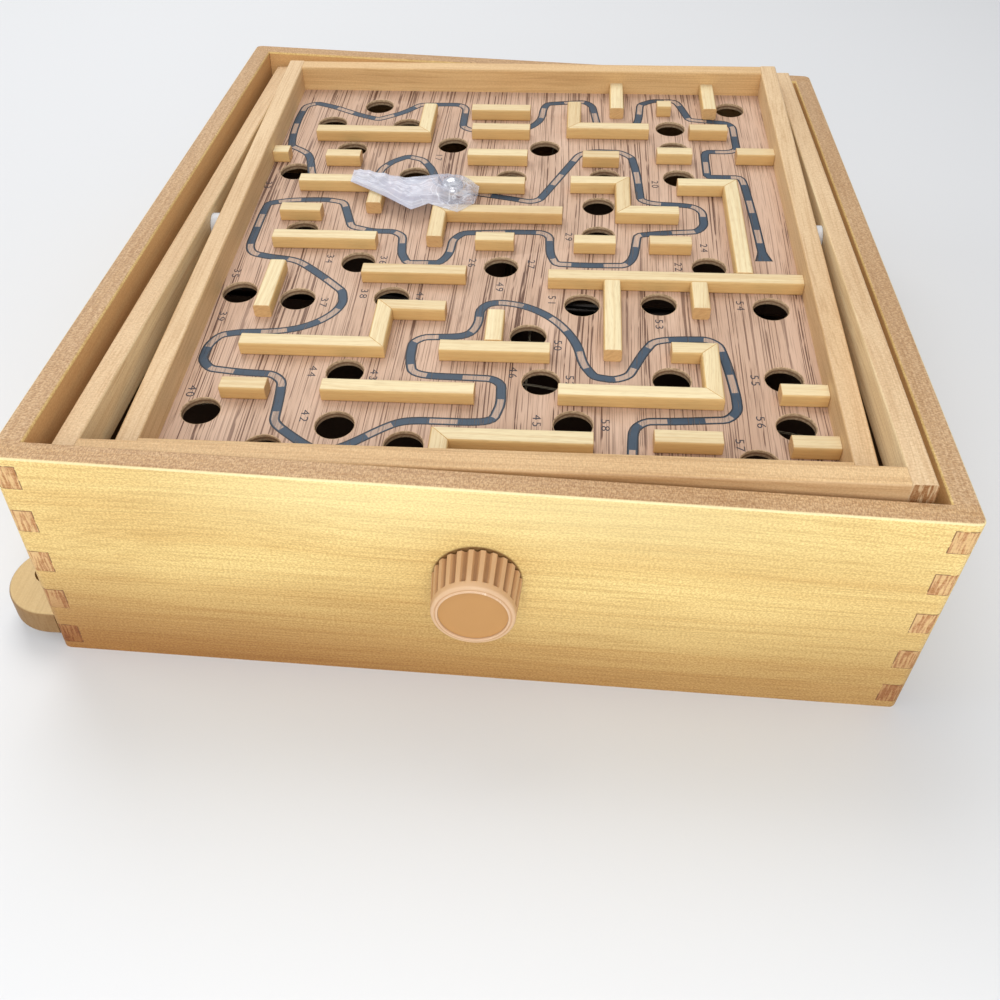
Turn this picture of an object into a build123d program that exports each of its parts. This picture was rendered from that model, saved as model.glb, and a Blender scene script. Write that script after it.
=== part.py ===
from build123d import *
import math
import os

# A tilting ball maze: a finger-jointed wooden box, a tilting frame on two pins across the box,
# and a maze board on two more pins inside that frame. Two knobs turn shafts under the board, and
# a cord wound on each shaft pulls the frame or the board down on one side and frees the other.
# Every piece is drawn about the middle of the box, with X to the right, Y to the back and Z up.

# The box, in millimetres
box_width = 280.0
box_depth = 321.0
box_height = 85.0
wall = 8.0
edge_strip = 3.1
finger_rows = 5
corner_radius = 3.0
rim_radius = 1.0

# Pins, and where the frame and board stand in the photograph
pivot_height = 76.8
frame_tilt = 2.45
board_tilt = 4.1
pin_radius = 1.5
socket_depth = 5.0
socket_end_gap = 0.3
running_clearance = 0.05
seat_clearance = 0.02

# The tilting frame, with heights from its pins
frame_side_gap = 4.0
frame_end_gap = 2.0
frame_side_rail = 7.5
frame_end_rail = 8.0
frame_rail_height = 14.5
frame_rail_top = 7.25
rail_round = 0.9

# The board, with heights from its pins
board_side_gap = 3.5
board_end_gap = 6.0
board_rail = 7.5
board_rail_top = 6.0
board_rail_bottom = 8.5
board_thickness = 2.5
board_inset = 1.0
board_right_extra = 1.0
hole_radius = 6.5
hole_rail_margin = 1.0

# Spacers on the pins
washer_play = 0.15
frame_washer_radius = 4.0
board_spacer_radius = 4.8

# Maze strips
strip_width = 6.4
strip_height = 5.3
strip_chamfer = 1.0
maze_columns = 40
maze_rows = 48

# Shafts and knobs
shaft_radius = 3.0
front_shaft_height = 49.0
shaft_crossing_gap = 0.5
knob_rear_radius = 13.7
knob_front_radius = 12.5
knob_length = 13.8
knob_wall_gap = 1.2
knob_band = 2.4
knob_hub_radius = 5.5
knob_shell = 2.6
knob_socket_depth = 10.5
knob_face_ring_outer = 11.0
knob_face_ring_width = 0.65
knob_face_ring_height = 0.35
knob_face_recess = 0.5
knob_edge_round = 0.8
flute_count = 24
flute_radius = 1.5
flute_depth = 0.6

# Cords, screw eyes and springs
cord_radius = 0.5
cord_clearance = 0.3
cord_turns = 3
cord_pitch = 1.5
cord_shoulder = 12.0
cord_shoulder_radius = 40.0
tilt_cord_row = -60.0
board_cord_column = 12.0
guide_height = 30.0
guide_ring = 3.0
guide_wire = 0.8
hook_ring = 1.8
hook_wire = 0.5
hook_stem = 1.0
screw_depth = 5.0
spring_radius = 2.0
spring_wire = 0.4
spring_pitch = 1.3
spring_turns = 6
wire_sides = 6

# Return board, its battens and the tray outside
return_thickness = 3.0
return_low_top = 14.5
return_slope = 0.02
return_clearance = 0.2
batten_width = 8.0
batten_height = 6.0
exit_hole_width = 20.0
exit_hole_height = 16.0
exit_hole_round = 5.0
exit_from_front = 21.0
tray_from_front = 18.1
tray_radius = 16.5
tray_reach = 20.5
tray_thickness = 10.0
tray_dish_radius = 6.0
tray_dish_depth = 4.6
tray_dish_from_wall = 7.5
tray_edge_round = 1.2

# Ball and the clear bag that lies on the maze
ball_radius = 5.5
bag_clearance = 0.3
bag_height = 6.4
ball_place = (-26.5, 28.8)
bag_outline = [(-70.4, 41.4), (-69.6, 31.0), (-54.0, 20.8), (-42.0, 11.6), (-35.5, 17.0), (-23.0, 10.8),
               (-16.4, 18.0), (-15.5, 31.0), (-25.0, 42.0), (-47.6, 36.6)]

# Sizes that follow
inner_width = box_width - 2 * wall
inner_depth = box_depth - 2 * wall
frame_half_width = inner_width / 2 - frame_side_gap
frame_half_length = inner_depth / 2 - frame_end_gap
board_half_width = frame_half_width - frame_side_rail - board_side_gap
board_half_length = frame_half_length - frame_end_rail - board_end_gap
maze_half_width = board_half_width - board_rail
maze_half_length = board_half_length - board_rail
maze_underside = board_inset - board_rail_bottom
maze_floor = maze_underside + board_thickness
maze_width = 2 * maze_half_width + board_right_extra
maze_middle = Pos(board_right_extra / 2, 0, 0)
column = 2 * maze_half_width / maze_columns
row = 2 * maze_half_length / maze_rows
half_strip = strip_width / 2 / row
left_rail, right_rail = -maze_columns / 2, maze_columns / 2 + board_right_extra / column
front_rail, back_rail = -maze_rows / 2, maze_rows / 2
side_shaft_height = front_shaft_height - 2 * shaft_radius - shaft_crossing_gap

# Poses of the three bodies, and the middle of the whole outline, which every file is written about
in_box = Location()
in_frame = Pos(0, 0, pivot_height) * Rot(0, -frame_tilt, 0)
in_board = in_frame * Rot(board_tilt, 0, 0)
knob_reach = knob_wall_gap + knob_length + knob_face_ring_height
left_reach = max(tray_reach, knob_reach)
outline_middle = Pos(left_reach / 2, knob_reach / 2, 0)


def write(piece, label, pose=in_box):
    """Label a finished piece, set it in its body's pose and write its file."""
    placed = outline_middle * pose * piece
    placed.label = label
    export_step(placed, f"parts/{label}.step")


os.makedirs("parts", exist_ok=True)

# Box walls: the fingers of the side walls show on the front and back faces, and the rim is
# rounded over all four walls as one
finger_height = (box_height - 2 * edge_strip) / (2 * finger_rows - 1)
finger_middles = [edge_strip + (2 * k + 0.5) * finger_height for k in range(finger_rows)]

with BuildPart() as envelope:
    with BuildSketch():
        RectangleRounded(box_width, box_depth, corner_radius)
        Rectangle(inner_width, inner_depth, mode=Mode.SUBTRACT)
    extrude(amount=box_height)
    fillet(envelope.edges().group_by(Axis.Z)[-1], rim_radius)


def end_wall(side, shaft_goes_through):
    """Front wall (side -1) or back wall (side 1), notched at both ends for the fingers."""
    outer = Plane((0, side * box_depth / 2, 0), x_dir=(-side, 0, 0), z_dir=(0, side, 0))
    with BuildPart() as end:
        with BuildSketch(outer):
            Rectangle(box_width, box_height, align=(Align.CENTER, Align.MIN))
            with Locations(*[(x * (box_width - wall) / 2, z) for x in (-1, 1) for z in finger_middles]):
                Rectangle(wall, finger_height, mode=Mode.SUBTRACT)
        extrude(amount=-wall)
        add(envelope.part, mode=Mode.INTERSECT)
        with BuildSketch(outer.offset(-wall)):
            with Locations((0, pivot_height)):
                Circle(pin_radius + running_clearance)
        extrude(amount=socket_depth, mode=Mode.SUBTRACT)
        with BuildSketch(outer.offset(-wall)):
            with Locations((0, front_shaft_height)):
                Circle(shaft_radius + running_clearance)
        extrude(amount=wall if shaft_goes_through else socket_depth, mode=Mode.SUBTRACT)
    return end.part


def side_wall(side):
    """Left wall (side -1) with its ball exit, or right wall (side 1), with fingers at both ends."""
    outer = Plane((side * box_width / 2, 0, 0), x_dir=(0, side, 0), z_dir=(side, 0, 0))
    is_left = side < 0
    with BuildPart() as flank:
        with BuildSketch(outer):
            Rectangle(inner_depth, box_height, align=(Align.CENTER, Align.MIN))
            with Locations(*[(0, z) for z in finger_middles]):
                Rectangle(box_depth, finger_height)
            if is_left:
                exit_sill = return_low_top
                with Locations((box_depth / 2 - exit_from_front, exit_sill + exit_hole_height / 2)):
                    RectangleRounded(exit_hole_width, exit_hole_height, exit_hole_round, mode=Mode.SUBTRACT)
        extrude(amount=-wall)
        add(envelope.part, mode=Mode.INTERSECT)
        with BuildSketch(outer.offset(-wall)):
            with Locations((0, side_shaft_height)):
                Circle(shaft_radius + running_clearance)
        extrude(amount=wall if is_left else socket_depth, mode=Mode.SUBTRACT)
    return flank.part


write(end_wall(-1, shaft_goes_through=True), "front_wall")
write(end_wall(1, shaft_goes_through=False), "back_wall")
write(side_wall(-1), "left_wall")
write(side_wall(1), "right_wall")

# Return board: it slopes down to the front left corner, where the ball leaves the box
slope_angle = math.degrees(math.atan(return_slope))
return_middle = return_low_top + return_slope * (inner_width + inner_depth) / 2
return_plane = Plane((0, 0, return_middle)).rotated((slope_angle, -slope_angle, 0))
with BuildPart() as return_board:
    with BuildSketch(return_plane):
        Rectangle(inner_width - 2 * return_clearance, inner_depth - 2 * return_clearance)
    extrude(amount=-return_thickness)
write(return_board.part, "return_board")


def batten(side):
    """Ledge glued to a side wall, planed off to the slope of the return board that it carries."""
    with BuildPart() as ledge:
        with BuildSketch(Plane.XZ) as section:
            with Locations((side * (inner_width - batten_width) / 2, return_middle)):
                Rectangle(batten_width, 2 * return_low_top + batten_height)
        extrude(amount=inner_depth / 2 - return_clearance, both=True)
        underside = return_plane.offset(-return_thickness)
        split(bisect_by=underside, keep=Keep.BOTTOM)
        split(bisect_by=underside.offset(-batten_height), keep=Keep.TOP)
    return ledge.part


write(batten(-1), "left_batten")
write(batten(1), "right_batten")

# Ball tray: a round-ended block against the left wall, level with the sill of the exit hole
against_wall = Plane((-box_width / 2, -box_depth / 2, return_low_top))
with BuildPart() as ball_tray:
    with BuildSketch(against_wall.offset(-tray_thickness)):
        with Locations((tray_radius - tray_reach, tray_from_front)):
            Circle(tray_radius)
            Rectangle(tray_radius, 2 * tray_radius, align=(Align.MIN, Align.CENTER))
        with Locations((0, tray_from_front)):
            Rectangle(tray_radius, 2 * tray_radius, align=(Align.MIN, Align.CENTER), mode=Mode.SUBTRACT)
    extrude(amount=tray_thickness)
    levels = ball_tray.edges().group_by(Axis.Z)
    fillet([e for e in levels[0] + levels[-1] if e.center().X < -box_width / 2 - 0.1], tray_edge_round)
    with BuildSketch(against_wall):
        with Locations((-tray_dish_from_wall, exit_from_front)):
            Circle(tray_dish_radius)
    extrude(amount=-tray_dish_depth, mode=Mode.SUBTRACT)
write(ball_tray.part, "ball_tray")


def rail(length, thickness, height, top, middle, lengthwise):
    """Rail with rounded long top edges, running along Y when lengthwise and along X otherwise."""
    section_plane = Plane.XZ if lengthwise else Plane.YZ
    with BuildPart() as strip:
        with BuildSketch(section_plane) as section:
            with Locations((middle, top - height / 2)):
                Rectangle(thickness, height)
            fillet(section.vertices().group_by(Axis.Z)[-1], rail_round)
        extrude(amount=length / 2, both=True)
    return strip.part


def bored(piece, at, outward, radius, start, depth):
    """The piece with a round hole for a pin, from start to start + depth along outward."""
    seat = Plane(at, z_dir=outward)
    with BuildPart() as drilled:
        add(piece)
        with BuildSketch(seat.offset(start)):
            Circle(radius)
        extrude(amount=depth, mode=Mode.SUBTRACT)
    return drilled.part


# Tilting frame: side rails run through, and end rails are butted between them
frame_side_middle = frame_half_width - frame_side_rail / 2
frame_end_middle = frame_half_length - frame_end_rail / 2
frame_inner_width = 2 * (frame_half_width - frame_side_rail)
pin_grip = board_rail - socket_end_gap

for side, label in ((-1, "frame_left_rail"), (1, "frame_right_rail")):
    plain = rail(2 * frame_half_length, frame_side_rail, frame_rail_height, frame_rail_top,
                 side * frame_side_middle, lengthwise=True)
    inner_face = frame_half_width - frame_side_rail
    piece = bored(plain, (0, 0, 0), (side, 0, 0), pin_radius + running_clearance, inner_face, socket_depth)
    write(piece, label, in_frame)

for side, label in ((-1, "frame_front_rail"), (1, "frame_back_rail")):
    plain = rail(frame_inner_width, frame_end_rail, frame_rail_height, frame_rail_top,
                 side * frame_end_middle, lengthwise=False)
    inner_face = frame_half_length - frame_end_rail
    piece = bored(plain, (0, 0, 0), (0, side, 0), pin_radius + seat_clearance, inner_face, frame_end_rail)
    write(piece, label, in_frame)


def pins(outward, starts, end):
    """Two pins, one on each side of the pivot's middle, lying on the axis from their starts to end."""
    made = []
    for side, start in zip((-1, 1), starts):
        axis_plane = Plane((0, 0, 0), z_dir=tuple(side * part for part in outward))
        with BuildPart() as pin:
            with BuildSketch(axis_plane.offset(start)):
                Circle(pin_radius)
            extrude(amount=end - start)
        made.append(pin.part.solid())
    return Compound(children=made)


def spacers(outward, starts, end, radius):
    """Two washers round the pins, each lying against its rail at its start and reaching to end."""
    made = []
    for side, start in zip((-1, 1), starts):
        axis_plane = Plane((0, 0, 0), z_dir=tuple(side * part for part in outward))
        with BuildPart() as ring:
            with BuildSketch(axis_plane.offset(start)):
                Circle(radius)
                Circle(pin_radius + seat_clearance, mode=Mode.SUBTRACT)
            extrude(amount=end - start)
        made.append(ring.part.solid())
    return Compound(children=made)


along_x, along_y = (1, 0, 0), (0, 1, 0)
frame_pin_start = frame_half_length - frame_end_rail
frame_pin_end = inner_depth / 2 + socket_depth - socket_end_gap
write(pins(along_y, (frame_pin_start, frame_pin_start), frame_pin_end), "frame_pivot_pins", in_frame)
frame_washer_end = frame_half_length + frame_end_gap - washer_play
write(spacers(along_y, (frame_half_length, frame_half_length), frame_washer_end, frame_washer_radius),
      "frame_washers", in_frame)

# The board reaches a little further to the right, so its right spacer is thinner
board_sides = (board_half_width, board_half_width + board_right_extra)
board_pin_starts = [reach - pin_grip for reach in board_sides]
board_pin_end = board_half_width + board_side_gap + socket_depth - socket_end_gap
board_spacer_end = board_half_width + board_side_gap - washer_play
write(pins(along_x, board_pin_starts, board_pin_end), "board_pivot_pins", in_board)
write(spacers(along_x, board_sides, board_spacer_end, board_spacer_radius), "board_spacers", in_board)

# Board frame and the maze board let in between its rails
board_rail_height = board_rail_top + board_rail_bottom
for side, reach, label in ((-1, board_sides[0], "board_left_rail"), (1, board_sides[1], "board_right_rail")):
    plain = rail(2 * board_half_length, board_rail, board_rail_height, board_rail_top,
                 side * (reach - board_rail / 2), lengthwise=True)
    piece = bored(plain, (0, 0, 0), (side, 0, 0), pin_radius + seat_clearance, reach - pin_grip, pin_grip)
    write(piece, label, in_board)

for side, label in ((-1, "board_front_rail"), (1, "board_back_rail")):
    piece = rail(maze_width, board_rail, board_rail_height, board_rail_top,
                 side * (board_half_length - board_rail / 2), lengthwise=False)
    write(maze_middle * piece, label, in_board)

# Ball holes, in columns and rows from the middle of the maze
hole_places = [(-18.6, -7.0), (-14.4, -7.6), (-10.9, -3.0), (-0.6, -3.2), (-7.9, -7.2), (-9.8, -15.3),
               (-18.1, -19.4), (-9.6, -20.3), (-5.2, -21.9), (-13.6, -22.6), (5.2, -7.5), (10.4, -7.2),
               (17.9, -7.4), (1.7, -11.1), (2.7, -15.7), (10.9, -15.2), (17.9, -14.8), (4.8, -19.6),
               (18.1, -19.2), (15.6, -22.5), (14.1, -2.7), (6.3, 1.1), (-12.8, 21.0), (-16.4, 17.7),
               (-9.9, 17.5), (-5.7, 14.3), (-14.0, 13.3), (-18.0, 9.6), (-8.3, 9.3), (-0.6, 9.1),
               (1.9, 14.0), (17.5, 21.2), (12.3, 17.7), (12.4, 14.1), (12.6, 9.6), (6.8, 9.5),
               (6.3, 5.2), (-15.8, 1.0)]
with BuildPart() as playing_board:
    with BuildSketch(Plane.XY.offset(maze_underside)):
        with Locations(maze_middle):
            Rectangle(maze_width, 2 * maze_half_length)
        with Locations(*[(c * column, r * row) for c, r in hole_places]):
            Circle(hole_radius, mode=Mode.SUBTRACT)
    extrude(amount=board_thickness)
write(playing_board.part, "playing_board", in_board)


def maze_strip(start, end, before=None, after=None):
    """One strip from start to end, mitred where it meets the leg before it or after it."""
    along = (end - start).normalized()
    reach = strip_width / 2
    first = start - along * reach if before else start
    last = end + along * reach if after else end
    cross = Plane(first, x_dir=along.cross(Vector(0, 0, 1)), z_dir=along)
    with BuildPart() as strip:
        with BuildSketch(cross) as section:
            Rectangle(strip_width, strip_height)
            chamfer(section.vertices(), strip_chamfer)
        extrude(amount=(last - first).length)
        if before:
            split(bisect_by=Plane(start, z_dir=before + along), keep=Keep.TOP)
        if after:
            split(bisect_by=Plane(end, z_dir=along + after), keep=Keep.BOTTOM)
    return strip.part.solid()


def maze_run(points):
    """The strips of one glued maze wall, along its corner points in columns and rows."""
    middle_height = maze_floor + strip_height / 2
    corners = [Vector(c * column, r * row, middle_height) for c, r in points]
    ways = [(b - a).normalized() for a, b in zip(corners, corners[1:])]
    legs = []
    for k, way in enumerate(ways):
        before = ways[k - 1] if k > 0 else None
        after = ways[k + 1] if k + 1 < len(ways) else None
        legs.append(maze_strip(corners[k], corners[k + 1], before, after))
    return legs


# Maze walls by node: each wall is the line of its middle, in columns and rows
maze_walls = {
    "maze_left_zigzag": [[(-16.9, -13.3), (-8.0, -13.3), (-8.0, -9.2), (-3.9, -9.2)]],
    "maze_front_corner": [[(6.0, -21.7), (-3.0, -21.7), (-3.0, front_rail)]],
    "maze_centre_tee": [[(-3.9, -13.4), (3.2, -13.4)], [(-0.5, -13.4 + half_strip), (-0.5, -9.5)]],
    "maze_long_comb": [[(2.8, -5.2), (right_rail, -5.2)], [(7.2, -13.5), (7.2, -5.2 - half_strip)],
                       [(13.1, -8.8), (13.1, -5.2 - half_strip)]],
    "maze_right_hook": [[(3.8, -17.4), (13.3, -17.4), (13.3, -13.0), (10.9, -13.0)]],
    "maze_back_left_corner": [[(-17.1, 15.1), (-8.1, 15.1), (-8.1, 19.7)]],
    "maze_left_corner": [[(-17.0, 7.1), (-10.7, 7.1), (-10.7, 3.5)]],
    "maze_centre_corner": [[(3.6, 3.0), (-5.6, 3.0), (-5.6, -0.9)]],
    "maze_back_right_corner": [[(10.4, 16.2), (4.2, 16.2), (4.2, 20.4)]],
    "maze_right_zigzag": [[(4.1, 7.5), (8.1, 7.5), (8.1, 3.3), (12.2, 3.3)]],
    "maze_right_corner": [[(12.3, 7.4), (16.3, 7.4), (16.3, -5.2 + half_strip)]],
    "maze_left_bars": [[(-17.4, -0.9), (-9.8, -0.9)], [(-10.2, -5.0), (-2.9, -5.0)],
                       [(-10.8, -17.6), (-1.3, -17.6)]],
    "maze_centre_bars": [[(-4.5, 19.2), (0.5, 19.2)], [(-4.2, 15.8), (0.6, 15.8)],
                         [(-4.2, 11.5), (0.6, 11.5)], [(-4.2, 7.2), (0.6, 7.2)]],
    "maze_left_upright": [[(-16.3, -9.8), (-16.3, -4.3)]],
    "maze_back_uprights": [[(7.8, 19.3), (7.8, back_rail)], [(15.6, 19.4), (15.6, back_rail)]],
    "maze_front_blocks": [[(-17.1, -17.7), (-14.2, -17.7)], [(9.5, -21.3), (13.5, -21.3)],
                          [(17.3, -16.8), (right_rail, -16.8)], [(17.4, -21.4), (right_rail, -21.4)]],
    "maze_middle_blocks": [[(-2.6, -0.7), (0.2, -0.7)], [(4.5, -0.8), (7.5, -0.8)],
                           [(9.9, -0.7), (12.9, -0.7)], [(-17.6, 2.8), (-14.5, 2.8)]],
    "maze_back_blocks": [[(left_rail, 11.5), (-18.7, 11.5)], [(-15.6, 11.0), (-12.8, 11.0)],
                         [(11.2, 20.3), (12.4, 20.3)], [(13.7, 16.2), (16.8, 16.2)],
                         [(17.2, 12.3), (right_rail, 12.3)], [(10.9, 12.2), (13.7, 12.2)],
                         [(5.0, 11.5), (7.9, 11.5)]],
}
for label, runs in maze_walls.items():
    write(Compound(children=[leg for points in runs for leg in maze_run(points)]), label, in_board)

# Shafts and knobs
front_shaft_axis = Plane((0, -inner_depth / 2 - wall - knob_wall_gap, front_shaft_height), z_dir=(0, -1, 0))
side_shaft_axis = Plane((-inner_width / 2 - wall - knob_wall_gap, 0, side_shaft_height), z_dir=(-1, 0, 0))


def shaft(axis_plane, inner_length):
    """Shaft from inside its knob, across the box, to the blind hole in the far wall."""
    with BuildPart() as rod:
        with BuildSketch(axis_plane.offset(knob_socket_depth - socket_end_gap)):
            Circle(shaft_radius)
        inside = knob_wall_gap + wall + inner_length + socket_depth - socket_end_gap
        extrude(amount=-(inside + knob_socket_depth - socket_end_gap))
    return rod.part


def knob():
    """Knob with its rear face on XY: a fluted barrel, a plain band, and a disc set in the face."""
    taper = (knob_rear_radius - knob_front_radius) / knob_length
    taper_angle = math.degrees(math.atan(taper))
    face_disc = knob_face_ring_outer - knob_face_ring_width
    shell_floor = knob_length - knob_shell - knob_face_recess
    with BuildPart() as flute:
        with Locations(Location((knob_rear_radius + flute_radius - flute_depth, 0, 0), (0, -taper_angle, 0))):
            Cylinder(flute_radius, 2 * (knob_length - knob_band))
    with BuildPart() as body:
        with BuildSketch(Plane.XZ) as half:
            with BuildLine():
                Polyline((knob_socket_wall, 0), (knob_hub_radius, 0), (knob_hub_radius, shell_floor),
                         (knob_rear_radius - knob_shell - taper * shell_floor, shell_floor),
                         (knob_rear_radius - knob_shell, 0), (knob_rear_radius, 0),
                         (knob_front_radius, knob_length), (knob_face_ring_outer, knob_length),
                         (knob_face_ring_outer, knob_length + knob_face_ring_height),
                         (face_disc, knob_length + knob_face_ring_height),
                         (face_disc, knob_length - knob_face_recess), (0, knob_length - knob_face_recess),
                         (0, knob_socket_depth), (knob_socket_wall, knob_socket_depth),
                         (knob_socket_wall, 0))
            make_face()
        revolve(axis=Axis.Z)
        rim = body.edges().filter_by(GeomType.CIRCLE).group_by(SortBy.RADIUS)
        front_edge = [e for group in rim for e in group if abs(e.radius - knob_front_radius) < 1e-6]
        fillet(front_edge, knob_edge_round)
        with PolarLocations(0, flute_count):
            add(flute.part, mode=Mode.SUBTRACT)
    return body.part


knob_socket_wall = shaft_radius + seat_clearance
write(knob(), "front_knob", front_shaft_axis.location)
write(shaft(front_shaft_axis, inner_depth), "front_shaft")
write(knob(), "side_knob", side_shaft_axis.location)
write(shaft(side_shaft_axis, inner_width), "side_shaft")


def screw_eye(seat, ring, wire, stem):
    """Screw eye driven into a face: seat stands on the face, and the ring lies in its XZ plane."""
    with BuildPart() as eye:
        with BuildSketch(Plane.XY.offset(-screw_depth)):
            Circle(wire)
        extrude(amount=screw_depth + stem)
        with Locations((0, 0, stem + ring)):
            Torus(ring, wire, rotation=(90, 0, 0))
    return (seat.location * eye.part).solid()


def spring():
    """Tension spring hanging from its origin, wound from half turns, with its ends on one line."""
    with BuildPart() as coil:
        with BuildLine() as wire_line:
            for k in range(spring_turns):
                top = -k * spring_pitch
                quarter = spring_pitch / 4
                ThreePointArc((0, 0, top), (-spring_radius, spring_radius, top - quarter),
                              (-2 * spring_radius, 0, top - 2 * quarter))
                ThreePointArc((-2 * spring_radius, 0, top - 2 * quarter),
                              (-spring_radius, -spring_radius, top - 3 * quarter),
                              (0, 0, top - spring_pitch))
        with BuildSketch(Plane(wire_line.line @ 0, z_dir=wire_line.line % 0)):
            RegularPolygon(spring_wire, wire_sides)
        sweep()
    return coil.part


# Cords: each comes down from a rail, through a screw eye, round its shaft and up the other side
bend = guide_wire + cord_radius + cord_clearance
wind_radius = shaft_radius + cord_clearance + cord_radius
half_winding = cord_turns * cord_pitch / 2
hook_drop = hook_stem + 2 * hook_ring + hook_wire
spring_drop = spring_turns * spring_pitch + 2 * spring_wire + 2 * cord_clearance


def cord(shaft_height, reach, tops, swap):
    """Cord in the plane across its shaft. swap exchanges X and Y for the shaft that lies along X."""
    def place(u, v, z):
        return (v, u, z) if swap else (u, v, z)
    level = shaft_height - wind_radius
    slope = (level - guide_height + bend) / (reach - cord_shoulder)
    corner = guide_height - bend * math.sqrt(1 + slope * slope) - bend * slope
    lanes = (tops[0][1], tops[1][1])
    with BuildPart() as line:
        with BuildLine() as path:
            FilletPolyline(place(*tops[0]), place(-reach, lanes[0], corner),
                           place(-cord_shoulder, lanes[0], level), place(0, lanes[0], level),
                           radius=(bend, cord_shoulder_radius))
            for k in range(cord_turns):
                v = lanes[0] + k * cord_pitch
                quarter = cord_pitch / 4
                ThreePointArc(place(0, v, level), place(wind_radius, v + quarter, shaft_height),
                              place(0, v + 2 * quarter, shaft_height + wind_radius))
                ThreePointArc(place(0, v + 2 * quarter, shaft_height + wind_radius),
                              place(-wind_radius, v + 3 * quarter, shaft_height),
                              place(0, v + cord_pitch, level))
            FilletPolyline(place(0, lanes[1], level), place(cord_shoulder, lanes[1], level),
                           place(reach, lanes[1], corner), place(*tops[1]),
                           radius=(cord_shoulder_radius, bend))
        with BuildSketch(Plane(path.line @ 0, z_dir=path.line % 0)):
            Circle(cord_radius)
        sweep()
    length = sum(edge.length for edge in path.edges())
    section_volume = math.pi * cord_radius ** 2 * length
    print("cord length %.1f mm, solid %.4f of section times length" % (length, line.part.volume / section_volume))
    return line.part


def least_gap(pitch, radius, wire, samples=48):
    """Least gap between a winding's neighbouring turns, measured on points."""
    def point(k):
        angle = 2 * math.pi * k / samples
        return Vector(radius * math.cos(angle), radius * math.sin(angle), pitch * k / samples)
    gaps = [(point(k) - point(j)).length for k in range(samples)
            for j in range(k + samples // 2, k + 2 * samples)]
    return min(gaps) - 2 * wire


tilt_lanes = (tilt_cord_row - half_winding, tilt_cord_row + half_winding)
board_lanes = (board_cord_column - half_winding, board_cord_column + half_winding)
frame_underside = frame_rail_top - frame_rail_height
board_end_middle = board_half_length - board_rail / 2


def under(pose, x, y, z):
    """Place of a rail's point in the box."""
    spot = (pose * Pos(x, y, z)).position
    return spot.X, spot.Y, spot.Z


down = (0, 0, -1)
frame_hooks = [screw_eye(Plane((side * frame_side_middle, lane, frame_underside), x_dir=(1, 0, 0), z_dir=down),
                         hook_ring, hook_wire, hook_stem)
               for side, lane in zip((-1, 1), tilt_lanes)]
write(Compound(children=frame_hooks), "frame_cord_hooks", in_frame)
board_hooks = [screw_eye(Plane((lane, side * board_end_middle, -board_rail_bottom), x_dir=(0, 1, 0), z_dir=down),
                         hook_ring, hook_wire, hook_stem)
               for side, lane in zip((-1, 1), board_lanes)]
write(Compound(children=board_hooks), "board_cord_hooks", in_board)

spring_top = cord_clearance + spring_wire
write(Pos(-frame_side_middle, tilt_lanes[0], frame_underside - hook_drop - spring_top) * spring(),
      "frame_spring", in_frame)
write(Pos(board_lanes[0], -board_end_middle, -board_rail_bottom - hook_drop - spring_top) * spring(),
      "board_spring", in_board)

tilt_tops = (under(in_frame, -frame_side_middle, tilt_lanes[0], frame_underside - hook_drop - spring_drop),
             under(in_frame, frame_side_middle, tilt_lanes[1], frame_underside - hook_drop - cord_clearance))
write(cord(front_shaft_height, frame_side_middle, tilt_tops, swap=False), "tilt_cord")

front_top = under(in_board, board_lanes[0], -board_end_middle, -board_rail_bottom - hook_drop - spring_drop)
back_top = under(in_board, board_lanes[1], board_end_middle, -board_rail_bottom - hook_drop - cord_clearance)
board_tops = ((front_top[1], board_lanes[0], front_top[2]), (back_top[1], board_lanes[1], back_top[2]))
write(cord(side_shaft_height, board_end_middle, board_tops, swap=True), "board_cord")
print("least gap in the windings %.2f mm, in the springs %.2f mm"
      % (least_gap(cord_pitch, wind_radius, cord_radius), least_gap(spring_pitch, spring_radius, spring_wire)))

guides = []
for side, lane in zip((-1, 1), tilt_lanes):
    seat = Plane((side * inner_width / 2, lane, guide_height), x_dir=(0, 1, 0), z_dir=(-side, 0, 0))
    stem = inner_width / 2 - frame_side_middle + bend - 2 * guide_ring
    guides.append(screw_eye(seat, guide_ring, guide_wire, stem))
for side, lane in zip((-1, 1), board_lanes):
    seat = Plane((lane, side * inner_depth / 2, guide_height), x_dir=(1, 0, 0), z_dir=(0, -side, 0))
    stem = inner_depth / 2 - board_end_middle + bend - 2 * guide_ring
    guides.append(screw_eye(seat, guide_ring, guide_wire, stem))
write(Compound(children=guides), "cord_guides")

# Ball, and the bag that holds it on the tops of the maze walls
ball_middle = (*ball_place, maze_floor + bag_clearance + ball_radius)
with BuildPart() as steel_ball:
    with Locations(ball_middle):
        Sphere(ball_radius)
write(steel_ball.part, "steel_ball", in_board)

with BuildPart() as ball_bag:
    with BuildSketch(Plane.XY.offset(maze_floor + strip_height + bag_clearance)):
        with BuildLine():
            Polyline(*bag_outline, close=True)
        make_face()
    extrude(amount=bag_height)
    with Locations(ball_middle):
        Sphere(ball_radius + seat_clearance, mode=Mode.SUBTRACT)
write(ball_bag.part, "ball_bag", in_board)
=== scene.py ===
"""Looks of a tilting ball maze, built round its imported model.

The wooden case, the tilting frame, the maze board, the knobs, the cords and the small clear bag with its
ball are dressed or modelled here, each in a class of its own. A finish is a frozen dataclass that makes its
material, and a sub-assembly is a dataclass whose build() models or dresses its pieces and hands them to their
bodies. Lengths are in metres unless a comment says millimetres.
"""

import logging
import math
import random
from contextlib import contextmanager
from dataclasses import dataclass, field
from enum import Enum
from typing import Any, Callable, Dict, Iterator, List, Optional, Sequence, Tuple, Union

import bmesh
import bpy
from mathutils import Matrix, Vector, noise


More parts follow.
